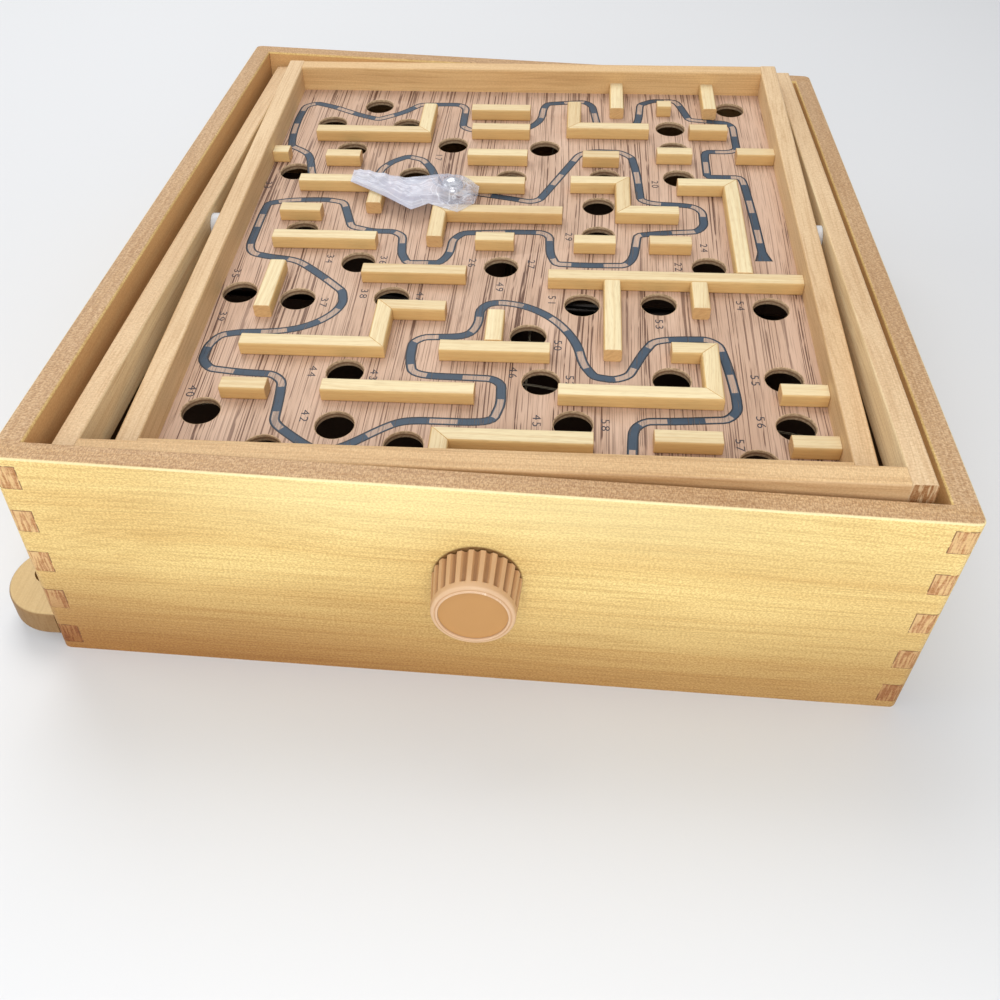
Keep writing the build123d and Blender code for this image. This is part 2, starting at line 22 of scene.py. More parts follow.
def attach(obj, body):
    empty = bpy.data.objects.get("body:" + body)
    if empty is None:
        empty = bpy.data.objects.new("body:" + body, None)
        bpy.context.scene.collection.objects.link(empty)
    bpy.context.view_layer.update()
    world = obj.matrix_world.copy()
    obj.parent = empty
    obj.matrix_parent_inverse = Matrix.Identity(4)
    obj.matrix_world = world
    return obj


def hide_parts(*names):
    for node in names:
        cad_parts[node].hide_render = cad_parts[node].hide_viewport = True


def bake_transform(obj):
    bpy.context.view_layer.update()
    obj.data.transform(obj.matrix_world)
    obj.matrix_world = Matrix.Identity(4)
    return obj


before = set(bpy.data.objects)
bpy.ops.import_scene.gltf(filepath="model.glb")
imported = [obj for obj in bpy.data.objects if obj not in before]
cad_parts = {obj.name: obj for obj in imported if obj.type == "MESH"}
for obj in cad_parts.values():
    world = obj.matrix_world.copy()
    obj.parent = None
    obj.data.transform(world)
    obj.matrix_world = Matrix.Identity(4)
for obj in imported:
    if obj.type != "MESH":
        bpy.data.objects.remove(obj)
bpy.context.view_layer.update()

Colour = Tuple[float, float, float, float]
Point2 = Tuple[float, float]
Piece = bpy.types.Object
Material = bpy.types.Material
Term = Union["Wire", float]

MM = 0.001
# Lean of the two frames in the photographed pose, and the middle of the box in millimetres
FRAME_LEAN = math.radians(2.45)
BOARD_LEAN = math.radians(4.1)
MIDDLE = Vector((10.25, 7.675, 0))
PIVOT = (MIDDLE + Vector((0, 0, 76.8))) * MM
IN_FRAME = Matrix.Translation(PIVOT) @ Matrix.Rotation(-FRAME_LEAN, 4, "Y")
IN_BOARD = IN_FRAME @ Matrix.Rotation(BOARD_LEAN, 4, "X")
# Heights of the shafts' axes in millimetres
FRONT_SHAFT_UP = 49.0
SIDE_SHAFT_UP = 42.5

log = logging.getLogger("maze")


def paint(red: int, green: int, blue: int) -> Colour:
    """Colour for a socket, from display values of 0 to 255.

    Args:
        red: Red as a screen shows it.
        green: Green as a screen shows it.
        blue: Blue as a screen shows it.

    Returns:
        The same colour in linear light, with full opacity.
    """
    def linear(level: float) -> float:
        """Linear light of one display level."""
        share = level / 255
        return share / 12.92 if share <= 0.04045 else ((share + 0.055) / 1.055) ** 2.4
    return (linear(red), linear(green), linear(blue), 1.0)


class Along(Enum):
    """Which way the grain of a piece of wood runs, in its body's own directions."""

    WIDTH = (1.0, 0.0, 0.0)
    DEPTH = (0.0, 1.0, 0.0)
    HEIGHT = (0.0, 0.0, 1.0)


class Pose(Enum):
    """Lean of a body at rest, as the angles of a Mapping node."""

    CASE = (0.0, 0.0, 0.0)
    FRAME = (0.0, -FRAME_LEAN, 0.0)
    BOARD = (BOARD_LEAN, -FRAME_LEAN, 0.0)


class Wire:
    """Output socket of a shader node that takes part in Python sums."""

    def __init__(self, shop: "NodeShop", socket: Any) -> None:
        """Wrap a socket.

        Args:
            shop: The node tree that the socket belongs to.
            socket: The output socket itself.
        """
        self.shop = shop
        self.socket = socket

    def _sum(self, operation: str, *terms: Term) -> "Wire":
        """One Math node on the given terms."""
        return self.shop.make("ShaderNodeMath", {"operation": operation}, dict(enumerate(terms)))

    def __add__(self, other: Term) -> "Wire":
        """This plus other."""
        return self._sum("ADD", self, other)

    __radd__ = __add__

    def __sub__(self, other: Term) -> "Wire":
        """This less other."""
        return self._sum("SUBTRACT", self, other)

    def __rsub__(self, other: float) -> "Wire":
        """Other less this."""
        return self._sum("SUBTRACT", other, self)

    def __mul__(self, other: Term) -> "Wire":
        """This times other."""
        return self._sum("MULTIPLY", self, other)

    __rmul__ = __mul__

    def __truediv__(self, other: Term) -> "Wire":
        """This over other."""
        return self._sum("DIVIDE", self, other)

    def __abs__(self) -> "Wire":
        """Size without its sign."""
        return self._sum("ABSOLUTE", self)

    def fraction(self) -> "Wire":
        """Part after the decimal point."""
        return self._sum("FRACT", self)

    def above(self, limit: float, soft: float = 0.0) -> "Wire":
        """Mask that is 1 above a limit.

        Args:
            limit: Where the mask is half open.
            soft: Half the width over which it opens.

        Returns:
            The mask, from 0 to 1.
        """
        if not soft:
            return self._sum("GREATER_THAN", self, limit)
        return self.shop.make("ShaderNodeMapRange", {"interpolation_type": "SMOOTHSTEP"},
                              {"Value": self, "From Min": limit - soft, "From Max": limit + soft})

    def below(self, limit: float, soft: float = 0.0) -> "Wire":
        """Mask that is 1 below a limit, soft over twice the given width."""
        return 1 - self.above(limit, soft)


class NodeShop:
    """One material and the nodes made for it."""

    def __init__(self, name: str) -> None:
        """Start an empty material.

        Args:
            name: Name of the material.
        """
        self.material = bpy.data.materials.new(name)
        self.material.use_nodes = True
        self.tree = self.material.node_tree
        self.tree.nodes.clear()

    def make(self, kind: str, settings: Dict[str, Any], sockets: Dict[Any, Any], output: Any = 0) -> Wire:
        """Add one node.

        Args:
            kind: The node's type.
            settings: Its properties; "stops" fills a colour ramp with places and colours.
            sockets: Values or links of its inputs, by name or number.
            output: Which output is wanted.

        Returns:
            The wanted output.
        """
        node = self.tree.nodes.new(kind)
        for key, value in settings.items():
            if key == "stops":
                ramp = node.color_ramp
                while len(ramp.elements) < len(value):
                    ramp.elements.new(0.5)
                for element, (place, colour) in zip(ramp.elements, value):
                    element.position = place
                    element.color = colour
            else:
                setattr(node, key, value)
        for key, value in sockets.items():
            self.feed(node.inputs[key], value)
        return Wire(self, node.outputs[output])

    def feed(self, socket: Any, value: Any) -> None:
        """Link a wire to a socket, or set the socket to a constant.

        Args:
            socket: Input of a node.
            value: Wire or constant.
        """
        if isinstance(value, Wire):
            self.tree.links.new(value.socket, socket)
        else:
            socket.default_value = value

    def mix(self, share: Term, first: Any, second: Any, blend: str = "MIX") -> Wire:
        """Colour between two colours.

        Args:
            share: 0 for the first colour and 1 for the second.
            first: Colour or wire.
            second: Colour or wire.
            blend: How the second is laid on the first.

        Returns:
            The mixed colour.
        """
        return self.make("ShaderNodeMix", {"data_type": "RGBA", "blend_type": blend},
                         {0: share, 6: first, 7: second}, output=2)

    def vector(self, operation: str, *terms: Any, output: Any = 0) -> Wire:
        """One Vector Math node on the given vectors."""
        return self.make("ShaderNodeVectorMath", {"operation": operation}, dict(enumerate(terms)), output)

    def scaled(self, vector: Wire, sizes: Sequence[float]) -> Wire:
        """Vector times sizes, part by part."""
        return self.vector("MULTIPLY", vector, tuple(sizes))

    def shifted(self, vector: Wire, step: Wire, sizes: Sequence[float]) -> Wire:
        """Vector moved by step times sizes."""
        return self.vector("ADD", vector, self.scaled(step, sizes))

    def distance(self, vector: Wire, sizes: Sequence[float], point: Sequence[float]) -> Wire:
        """Distance from a point, of a vector whose axes are first scaled by the given sizes."""
        return self.vector("DISTANCE", self.scaled(vector, sizes), tuple(point), output="Value")

    def part(self, vector: Wire, axis: Along) -> Wire:
        """Length of a vector along one axis."""
        return self.vector("DOT_PRODUCT", vector, axis.value, output="Value")

    def place(self, pose: Pose) -> Wire:
        """Place on the piece in metres from the pins, in the directions of its body.

        Args:
            pose: Lean of that body at rest.

        Returns:
            The place.
        """
        where = self.make("ShaderNodeTexCoord", {}, {}, output="Object")
        return self.make("ShaderNodeMapping", {"vector_type": "TEXTURE"},
                         {"Vector": where, "Location": tuple(PIVOT), "Rotation": pose.value})

    def facing(self) -> Wire:
        """Direction that the surface faces, in the piece's own directions."""
        return self.make("ShaderNodeTexCoord", {}, {}, output="Normal")

    def uv(self) -> Wire:
        """The piece's own map."""
        return self.make("ShaderNodeTexCoord", {}, {}, output="UV")

    def cloud(self, vector: Wire, sizes: Sequence[float] = (), detail: float = 2.0, rough: float = 0.5,
              warp: float = 0.0, scale: float = 1.0) -> Wire:
        """Noise from 0 to 1 on a vector.

        Args:
            vector: Where to read it.
            sizes: Waves per unit on the three axes, or nothing where they are alike.
            detail: Octaves.
            rough: Strength of the finer octaves.
            warp: Distortion.
            scale: Waves per unit on every axis.

        Returns:
            The noise.
        """
        where = self.scaled(vector, sizes) if sizes else vector
        return self.make("ShaderNodeTexNoise", {}, {"Vector": where, "Scale": scale, "Detail": detail,
                                                    "Roughness": rough, "Distortion": warp})

    def bump(self, height: Wire, depth: float, strength: float = 1.0) -> Wire:
        """Normal from a height of 0 to 1 and its depth in metres."""
        return self.make("ShaderNodeBump", {}, {"Strength": strength, "Distance": depth, "Height": height})

    def finish(self, **sockets: Any) -> Material:
        """Close the material with a Principled shader.

        Args:
            **sockets: Its inputs, with _ for each space in a name.

        Returns:
            The material.
        """
        named = {key.replace("_", " "): value for key, value in sockets.items()}
        shader = self.make("ShaderNodeBsdfPrincipled", {}, named)
        self.tree.links.new(shader.socket, self.tree.nodes.new("ShaderNodeOutputMaterial").inputs["Surface"])
        return self.material


@dataclass(frozen=True)
class Wood:
    """Planed wood with long fine grain lines, slow bands, fine specks and end grain."""

    name: str
    face: Colour
    streak: Colour
    end: Colour
    grain: Along
    pose: Pose = Pose.CASE
    top: Optional[Colour] = None
    shade: Colour = paint(150, 112, 78)
    tint: Colour = paint(204, 180, 148)
    top_share: float = 0.85
    streak_share: float = 0.5
    lines: float = 330.0
    hairs: float = 0.3
    speck: float = 0.35
    fleck: float = 0.15
    rings: float = 1.0
    blotch: float = 0.3
    roughness: float = 0.5
    relief: float = 0.1 * MM

    def spread(self, along: float, across: float) -> Tuple[float, ...]:
        """Waves per metre on the three axes, few along the grain and many across it."""
        return tuple(along if part else across for part in self.grain.value)

    def colour(self, shop: NodeShop) -> Tuple[Wire, Wire, Wire]:
        """Colour, grain height and end-grain mask.

        Args:
            shop: Material that is being made.

        Returns:
            The colour, a height from 0 to 1, and the mask.
        """
        place = shop.place(self.pose)
        sway = shop.cloud(place, self.spread(5, 16), 1)
        bent = shop.shifted(place, sway, self.spread(0, 0.014))
        bands = shop.cloud(bent, self.spread(1.8, 52))
        lines = shop.cloud(bent, self.spread(4, self.lines), 3, rough=0.6)
        hairs = shop.cloud(bent, self.spread(16, 1500))
        blotch = shop.cloud(place, self.spread(9, 24))
        speck = shop.cloud(place, self.spread(1300, 1900), rough=0.6)
        figure = (lines.above(0.55, 0.15) * 0.5 + bands.above(0.54, 0.14) * 0.5) * self.streak_share
        base = shop.mix(figure, self.face, self.streak)
        if self.top is not None:
            upward = shop.part(shop.facing(), Along.HEIGHT).above(0.75, 0.2)
            fleck = shop.cloud(place, self.spread(2300, 850))
            crown = shop.mix(figure * 0.5, self.top, self.streak)
            crown = shop.mix(fleck.above(0.5, 0.12) * self.fleck, crown, self.shade)
            base = shop.mix(upward * self.top_share, base, crown)
        base = shop.mix(blotch.above(0.52, 0.2) * self.blotch, base, self.tint, "MULTIPLY")
        base = shop.mix(hairs.above(0.56, 0.1) * self.hairs, base, self.tint, "MULTIPLY")
        base = shop.mix(speck.above(0.5, 0.14) * self.speck, base, self.tint, "MULTIPLY")
        ends = abs(shop.part(shop.facing(), self.grain)).above(0.8, 0.06)
        upright = shop.cloud(place, (1300, 1300, 150))
        level = shop.cloud(place, (170, 170, 1300))
        rings = upright.above(0.52, 0.08) * 0.45 + level.above(0.54, 0.1) * 0.2
        rings = rings + speck.above(0.52, 0.08) * 0.4
        cut = shop.mix(rings * self.rings, self.end, self.tint, "MULTIPLY")
        cut = shop.mix(upright.below(0.47, 0.06) * self.rings * 0.35, cut, self.face)
        return shop.mix(ends, base, cut), lines + hairs * -0.6 + speck * ends * 0.8, ends

    def material(self) -> Material:
        """Make the material.

        Returns:
            The finished material.
        """
        shop = NodeShop(self.name)
        colour, height, ends = self.colour(shop)
        return shop.finish(Base_Color=self.marks(shop, colour), Specular_IOR_Level=0.35,
                           Roughness=ends * 0.2 + height * 0.1 + self.roughness,
                           Normal=shop.bump(height, self.relief, 0.6))

    def marks(self, shop: NodeShop, colour: Wire) -> Wire:
        """Marks that lie on top of the grain; plain wood has none."""
        return colour


@dataclass(frozen=True)
class FingerWood(Wood):
    """Wood of the case, with dark hairlines round the fingers where the walls meet, and painted highlights, shade
    and shadows.
    """

    first: float = 3.1 * MM
    finger: float = 78.8 / 9 * MM
    half_width: float = 132.0 * MM
    half_depth: float = 152.5 * MM
    wall: float = 8.0 * MM
    skin: float = 1.0 * MM
    brim: float = 84.0 * MM
    facade: float = 150.0 * MM
    # Radius of the painted shadow ring behind each knob
    knob: float = 13.6 * MM
    hairline: float = 0.17 * MM
    # Colour of the painted highlight on the outer edges
    edge: Colour = paint(252, 240, 190)

    def joints(self, shop: NodeShop, place: Wire) -> Wire:
        """Hairlines between the fingers, broken here and there.

        Args:
            shop: Material that is being made.
            place: Place on the case, from the pins.

        Returns:
            The mask, from 0 to 1.
        """
        up = shop.part(place, Along.HEIGHT) + PIVOT.z
        beside, behind = abs(shop.part(place, Along.WIDTH)), abs(shop.part(place, Along.DEPTH))
        turn = ((up - self.first) / (2 * self.finger) + 8).fraction() * (2 * self.finger)
        within = turn.below(self.finger)
        ragged = shop.cloud(place, (420, 420, 420))
        hair = ragged * (1.6 * self.hairline) + self.hairline * 0.3
        level = (abs(abs(turn - self.finger / 2) - self.finger / 2) - hair).below(0, self.hairline / 2)
        upright = (abs(beside - self.half_width) - hair).below(0, self.hairline / 2) * within
        sideways = (abs(behind - self.half_depth) - hair).below(0, self.hairline / 2) * (1 - within)
        corner = beside.above(self.half_width - self.hairline) * behind.above(self.half_depth - self.hairline)
        joint = (level + upright + sideways) * corner * up.below(self.brim)
        return (joint * ragged.above(0.44, 0.1)).above(0.5, 0.3)

    def knob_shades(self, shop: NodeShop, place: Wire) -> Wire:
        """Painted shadow rings behind the two knobs, on the front and the left wall.

        Args:
            shop: Material that is being made.
            place: Place on the case, from the pins.

        Returns:
            The mask, from 0 to 1.
        """
        ahead = shop.distance(place, (1, 0, 1), (0, 0, FRONT_SHAFT_UP * MM - PIVOT.z))
        aside = shop.distance(place, (0, 1, 1), (0, 0, SIDE_SHAFT_UP * MM - PIVOT.z))
        front = shop.part(place, Along.DEPTH).below(-(self.half_depth + self.wall - self.skin))
        left = shop.part(place, Along.WIDTH).below(-(self.half_width + self.wall - self.skin))
        return front * ahead.below(self.knob, 0.4 * MM) + left * aside.below(self.knob, 0.4 * MM)

    def marks(self, shop: NodeShop, colour: Wire) -> Wire:
        """Painted highlights on the outer edges and upper walls, painted shade towards the foot and inside the
        case, painted shadows behind the knobs, and the fingers' hairlines.

        Args:
            shop: Material that is being made.
            colour: Colour of the grain.

        Returns:
            The colour with its marks.
        """
        place = shop.place(Pose.CASE)
        up = shop.part(place, Along.HEIGHT) + PIVOT.z
        across, back = shop.part(place, Along.WIDTH), shop.part(place, Along.DEPTH)
        beside, behind = abs(across), abs(back)
        facing = shop.part(shop.facing(), Along.HEIGHT)
        outer = beside.above(self.half_width + self.wall - self.skin, 0.3 * MM)
        outer = outer + behind.above(self.half_depth + self.wall - self.skin, 0.3 * MM)
        # Painted highlight along the rounded outer edges, where the faces turn from upright to level
        edge_highlight = abs(facing - 0.6).below(0.28, 0.1) * outer
        # Painted highlight: the upper middle of the front and back walls' upright faces is made paler
        upper_highlight = up.above(68 * MM, 14 * MM) * beside.below(80 * MM, 45 * MM) * (1 - facing.above(0.5, 0.2))
        with_upper_highlight = shop.mix(upper_highlight * 0.3, colour, paint(255, 246, 190))
        # Painted shade: darker and browner towards the foot and towards the left, most on the front wall; partly a
        # browner band of the wood
        facade = back.below(-self.facade, 4 * MM) * 0.65 + 0.35
        foot_shade = up.below(26 * MM, 28 * MM) * (0.85 - across * 1.1) * facade
        with_painted_shade = shop.mix(foot_shade, with_upper_highlight, paint(174, 138, 106), "MULTIPLY")
        # Painted shadow of each knob on the wall behind it
        with_painted_shade = shop.mix(self.knob_shades(shop, place) * 0.8, with_painted_shade, paint(110, 62, 28))
        with_edge_highlight = shop.mix(edge_highlight * 0.6, with_painted_shade, self.edge)
        inside = beside.below(self.half_width + self.skin) * behind.below(self.half_depth + self.skin)
        # Painted shade: the inner faces of the case are made browner
        wear_and_painted_light = shop.mix(inside * up.below(self.brim) * 0.6, with_edge_highlight, paint(206, 150, 104))
        # Painted shade: the inner faces grow darker below 60 mm, deep in the case
        shaded = shop.mix(inside * up.below(60 * MM, 14 * MM) * 0.7, wear_and_painted_light, paint(92, 66, 44), "MULTIPLY")
        return shop.mix(self.joints(shop, place) * 0.75, shaded, paint(104, 66, 42))


@dataclass(frozen=True)
class StripWood:
    """Pine of the maze strips: pale tops and golden sides, darker partly as painted shade, and a tone of its own
    for each strip.
    """

    name: str
    top: Colour
    side: Colour
    streak: Colour
    end: bool = False

    def material(self) -> Material:
        """Make the material, which follows the strip's own map in metres.

        Returns:
            The finished material.
        """
        shop = NodeShop(self.name)
        sheet = shop.uv()
        tone = shop.make("ShaderNodeAttribute", {"attribute_name": "tone"}, {}, output="Fac")
        sway = shop.cloud(sheet, (25, 60, 0), 1)
        bent = shop.shifted(sheet, sway, (0, 0.004, 0))
        if self.end:
            lines = shop.cloud(sheet, (700, 700, 0))
            fleck = shop.cloud(sheet, (1500, 1500, 0), 1).above(0.58, 0.1)
        else:
            lines = shop.cloud(bent, (14, 900, 0), rough=0.6)
            fleck = shop.cloud(bent, (160, 2600, 0), 1).above(0.6, 0.08)
        # Partly painted shade: upward faces take the pale top colour and the other faces the darker side colour
        up = shop.part(shop.facing(), Along.HEIGHT).above(0.8, 0.12)
        plain = shop.mix(up, self.side, self.top)
        grained = shop.mix(lines.above(0.53, 0.16) * 0.3, plain, self.streak)
        toned = shop.mix(tone * 0.3, grained, self.streak, "MULTIPLY")
        flecked = shop.mix(fleck * 0.16, toned, paint(160, 112, 66))
        return shop.finish(Base_Color=flecked, Roughness=lines * 0.15 + 0.48, Specular_IOR_Level=0.32,
                           Normal=shop.bump(lines + fleck * -0.4, 0.1 * MM, 0.6))


@dataclass(frozen=True)
class Veneer:
    """Face of the maze board: rosy beige veneer with long thin dark pore lines along the board's depth."""

    name: str
    light: Colour = paint(212, 180, 156)
    deep: Colour = paint(186, 152, 128)
    pore: Colour = paint(92, 60, 46)

    def material(self) -> Material:
        """Make the material.

        Returns:
            The finished material.
        """
        shop = NodeShop(self.name)
        place = shop.place(Pose.BOARD)
        sway = shop.cloud(place, (12, 4, 0), 1)
        bent = shop.shifted(place, sway, (0.014, 0, 0))
        bands = shop.cloud(bent, (95, 3, 0), 3)
        broad = shop.cloud(bent, (16, 2.5, 0))
        pores = shop.cloud(bent, (1500, 11, 0), 1, rough=0.5)
        breaks = shop.cloud(bent, (600, 90, 0), 1)
        fine = shop.cloud(bent, (2600, 60, 0), 1)
        base = shop.mix(bands.above(0.5, 0.22) * 0.5 + broad.above(0.5, 0.2) * 0.3, self.light, self.deep)
        dark = pores.above(0.58, 0.03) * breaks.above(0.36, 0.08) * (bands.above(0.46, 0.2) * 0.7 + 0.3)
        streaked = shop.mix(dark * 0.95, base, self.pore)
        fined = shop.mix(fine.above(0.58, 0.06) * 0.24, streaked, self.pore, "MULTIPLY")
        return shop.finish(Base_Color=fined, Roughness=pores * 0.2 + 0.45, Specular_IOR_Level=0.3,
                           Normal=shop.bump(1 - dark, 0.12 * MM, 0.6))


@dataclass(frozen=True)
class PlyEdge:
    """Rough cut edge of the plywood, in three thin layers."""

    name: str
    light: Colour = paint(204, 176, 142)
    dark: Colour = paint(116, 86, 62)
    sheet: float = 2.5 * MM

    def material(self) -> Material:
        """Make the material.

        Returns:
            The finished material.
        """
        shop = NodeShop(self.name)
        place = shop.place(Pose.BOARD)
        depth = (shop.part(place, Along.HEIGHT) + 5.0 * MM) / (self.sheet * -1)
        middle = abs(depth - 0.5).below(0.17, 0.04)
        fuzz = shop.cloud(place, (900, 900, 1500), 3, rough=0.65)
        layered = shop.mix(middle * 0.75, self.light, self.dark)
        frayed = shop.mix(fuzz.above(0.5, 0.16) * 0.55, layered, self.dark)
        # Darker towards the underside of the sheet
        darker_below = shop.mix(depth.above(0.6, 0.4) * 0.4, frayed, paint(58, 38, 26))
        return shop.finish(Base_Color=darker_below, Roughness=0.85, Specular_IOR_Level=0.15,
                           Normal=shop.bump(fuzz, 0.35 * MM, 0.9))


@dataclass(frozen=True)
class Print:
    """Ink on the board, thin where the pores of the veneer show through."""

    name: str
    ink: Colour
    edge: Colour
    window: Optional[Colour] = None
    period: float = 22.0 * MM
    length: float = 1.0

    def material(self) -> Material:
        """Make the material, which follows the line's own map.

        Returns:
            The finished material.
        """
        shop = NodeShop(self.name)
        place = shop.place(Pose.BOARD)
        worn = shop.cloud(place, (1150, 62, 0), rough=0.6).above(0.6, 0.05)
        patch = shop.cloud(place, (240, 240, 0))
        colour = shop.mix(patch * 0.35, self.ink, self.edge)
        cover = 1 - worn * 0.4
        if self.window is not None:
            sheet = shop.uv()
            run = shop.part(sheet, Along.WIDTH) * (self.length / self.period)
            side = abs(shop.part(sheet, Along.DEPTH) - 0.5)
            gap = run.fraction().above(0.57) * side.below(0.29, 0.03)
            colour = shop.mix(side.above(0.36, 0.06) * 0.9, colour, self.edge)
            colour = shop.mix(gap, colour, self.window)
            cover = 1 - worn * 0.3 - gap * 0.6
        return shop.finish(Base_Color=colour, Roughness=0.5, Specular_IOR_Level=0.3, Alpha=cover)


@dataclass(frozen=True)
class Plastic:
    """Moulded plastic with a faint mottle, fine scratches, rubbed edges with painted highlights, and painted shade
    in its grooves.
    """

    name: str
    body: Colour
    # Colour of real scuffs, and of the painted highlights on edges and ridges
    wear_and_painted_light: Colour
    roughness: float = 0.38
    wear: float = 0.25
    # Colour of the painted shade deep in the grooves
    groove: Optional[Colour] = None
    gloss: float = 0.45

    def material(self) -> Material:
        """Make the material.

        Returns:
            The finished material.
        """
        shop = NodeShop(self.name)
        place = shop.place(Pose.CASE)
        mottle = shop.cloud(place, scale=140, detail=3)
        grain = shop.cloud(place, scale=1700)
        scuff = shop.cloud(place, (900, 180, 260), 3, rough=0.7, warp=0.6).above(0.66, 0.05)
        body = shop.mix(mottle * 0.28, self.body, self.wear_and_painted_light)
        worn = shop.mix(scuff * self.wear, body, self.wear_and_painted_light)
        if self.groove is not None:
            # Painted highlight where the groove mark is near 0, on edges and flute ridges, and painted shade deep
            # in the grooves
            depth = shop.make("ShaderNodeAttribute", {"attribute_name": "groove"}, {}, "Fac")
            worn = shop.mix(depth.below(0.08, 0.06) * 0.6, worn, self.wear_and_painted_light)
            worn = shop.mix(depth.above(0.6, 0.35) * 0.55, worn, self.groove)
        return shop.finish(Base_Color=worn, Roughness=mottle * 0.16 + grain * 0.08 + self.roughness - 0.1,
                           Specular_IOR_Level=self.gloss, Normal=shop.bump(grain + mottle, 0.05 * MM, 0.35))


@dataclass(frozen=True)
class Metal:
    """Bare or dark metal with fine draw marks and slight tarnish."""

    name: str
    body: Colour
    dull: Colour
    roughness: float = 0.25
    tarnish: float = 0.4

    def material(self) -> Material:
        """Make the material.

        Returns:
            The finished material.
        """
        shop = NodeShop(self.name)
        place = shop.place(Pose.CASE)
        cloud = shop.cloud(place, scale=90, detail=3)
        marks = shop.cloud(place, scale=2200)
        colour = shop.mix(cloud.above(0.5, 0.25) * self.tarnish, self.body, self.dull)
        return shop.finish(Base_Color=colour, Metallic=1.0, Normal=shop.bump(marks, 0.02 * MM, 0.3),
                           Roughness=cloud * 0.15 + marks * 0.08 + self.roughness)


@dataclass(frozen=True)
class Thread:
    """Twisted cotton cord, on a map that runs once round and once along."""

    name: str
    light: Colour
    dark: Colour
    twists: float = 130.0

    def material(self) -> Material:
        """Make the material.

        Returns:
            The finished material.
        """
        shop = NodeShop(self.name)
        sheet = shop.uv()
        lay = (shop.part(sheet, Along.WIDTH) * self.twists + shop.part(sheet, Along.DEPTH) * 3).fraction()
        strand = 1 - abs(lay - 0.5) * 2
        fuzz = shop.cloud(sheet, (self.twists * 9, 14, 0))
        colour = shop.mix(strand.above(0.35, 0.35), self.dark, self.light)
        return shop.finish(Base_Color=shop.mix(fuzz * 0.3, colour, self.dark), Roughness=0.85,
                           Specular_IOR_Level=0.2, Normal=shop.bump(strand + fuzz * 0.3, 0.2 * MM))


@dataclass(frozen=True)
class Film:
    """Clear crumpled film, milky where it is folded and clear where it is stretched."""

    name: str
    milk: Colour = paint(206, 208, 226)
    clear: Colour = paint(238, 240, 246)

    def material(self) -> Material:
        """Make the material, whose map runs from the closed end, 0, to the ball, 1.

        Returns:
            The finished material.
        """
        shop = NodeShop(self.name)
        sheet = shop.uv()
        place = shop.place(Pose.BOARD)
        along = shop.part(sheet, Along.WIDTH)
        pleats = shop.cloud(sheet, (2.2, 9, 0), 1, warp=0.4)
        folds = shop.cloud(sheet, (4, 18, 0), 1, warp=0.5)
        crumple = shop.cloud(place, (100, 140, 140), 1, warp=0.7)
        creases = abs(crumple - 0.5).below(0.012, 0.02) * along.above(0.55, 0.25)
        ridges = abs(pleats - 0.5).below(0.02, 0.03)
        milky = pleats.above(0.46, 0.2) * 0.14 + along.below(0.7, 0.22) * 0.38 + ridges * 0.14 + creases * 0.3
        haze = milky + 0.12
        colour = shop.mix(pleats.above(0.45, 0.2) * 0.4 + ridges * 0.4 + creases * 0.4, self.milk, self.clear)
        return shop.finish(Base_Color=colour, Alpha=haze, Specular_IOR_Level=0.5,
                           Roughness=folds * 0.15 + 0.3,
                           Normal=shop.bump(pleats + folds * 0.3 + crumple * along * 0.4, 0.7 * MM, 0.35))


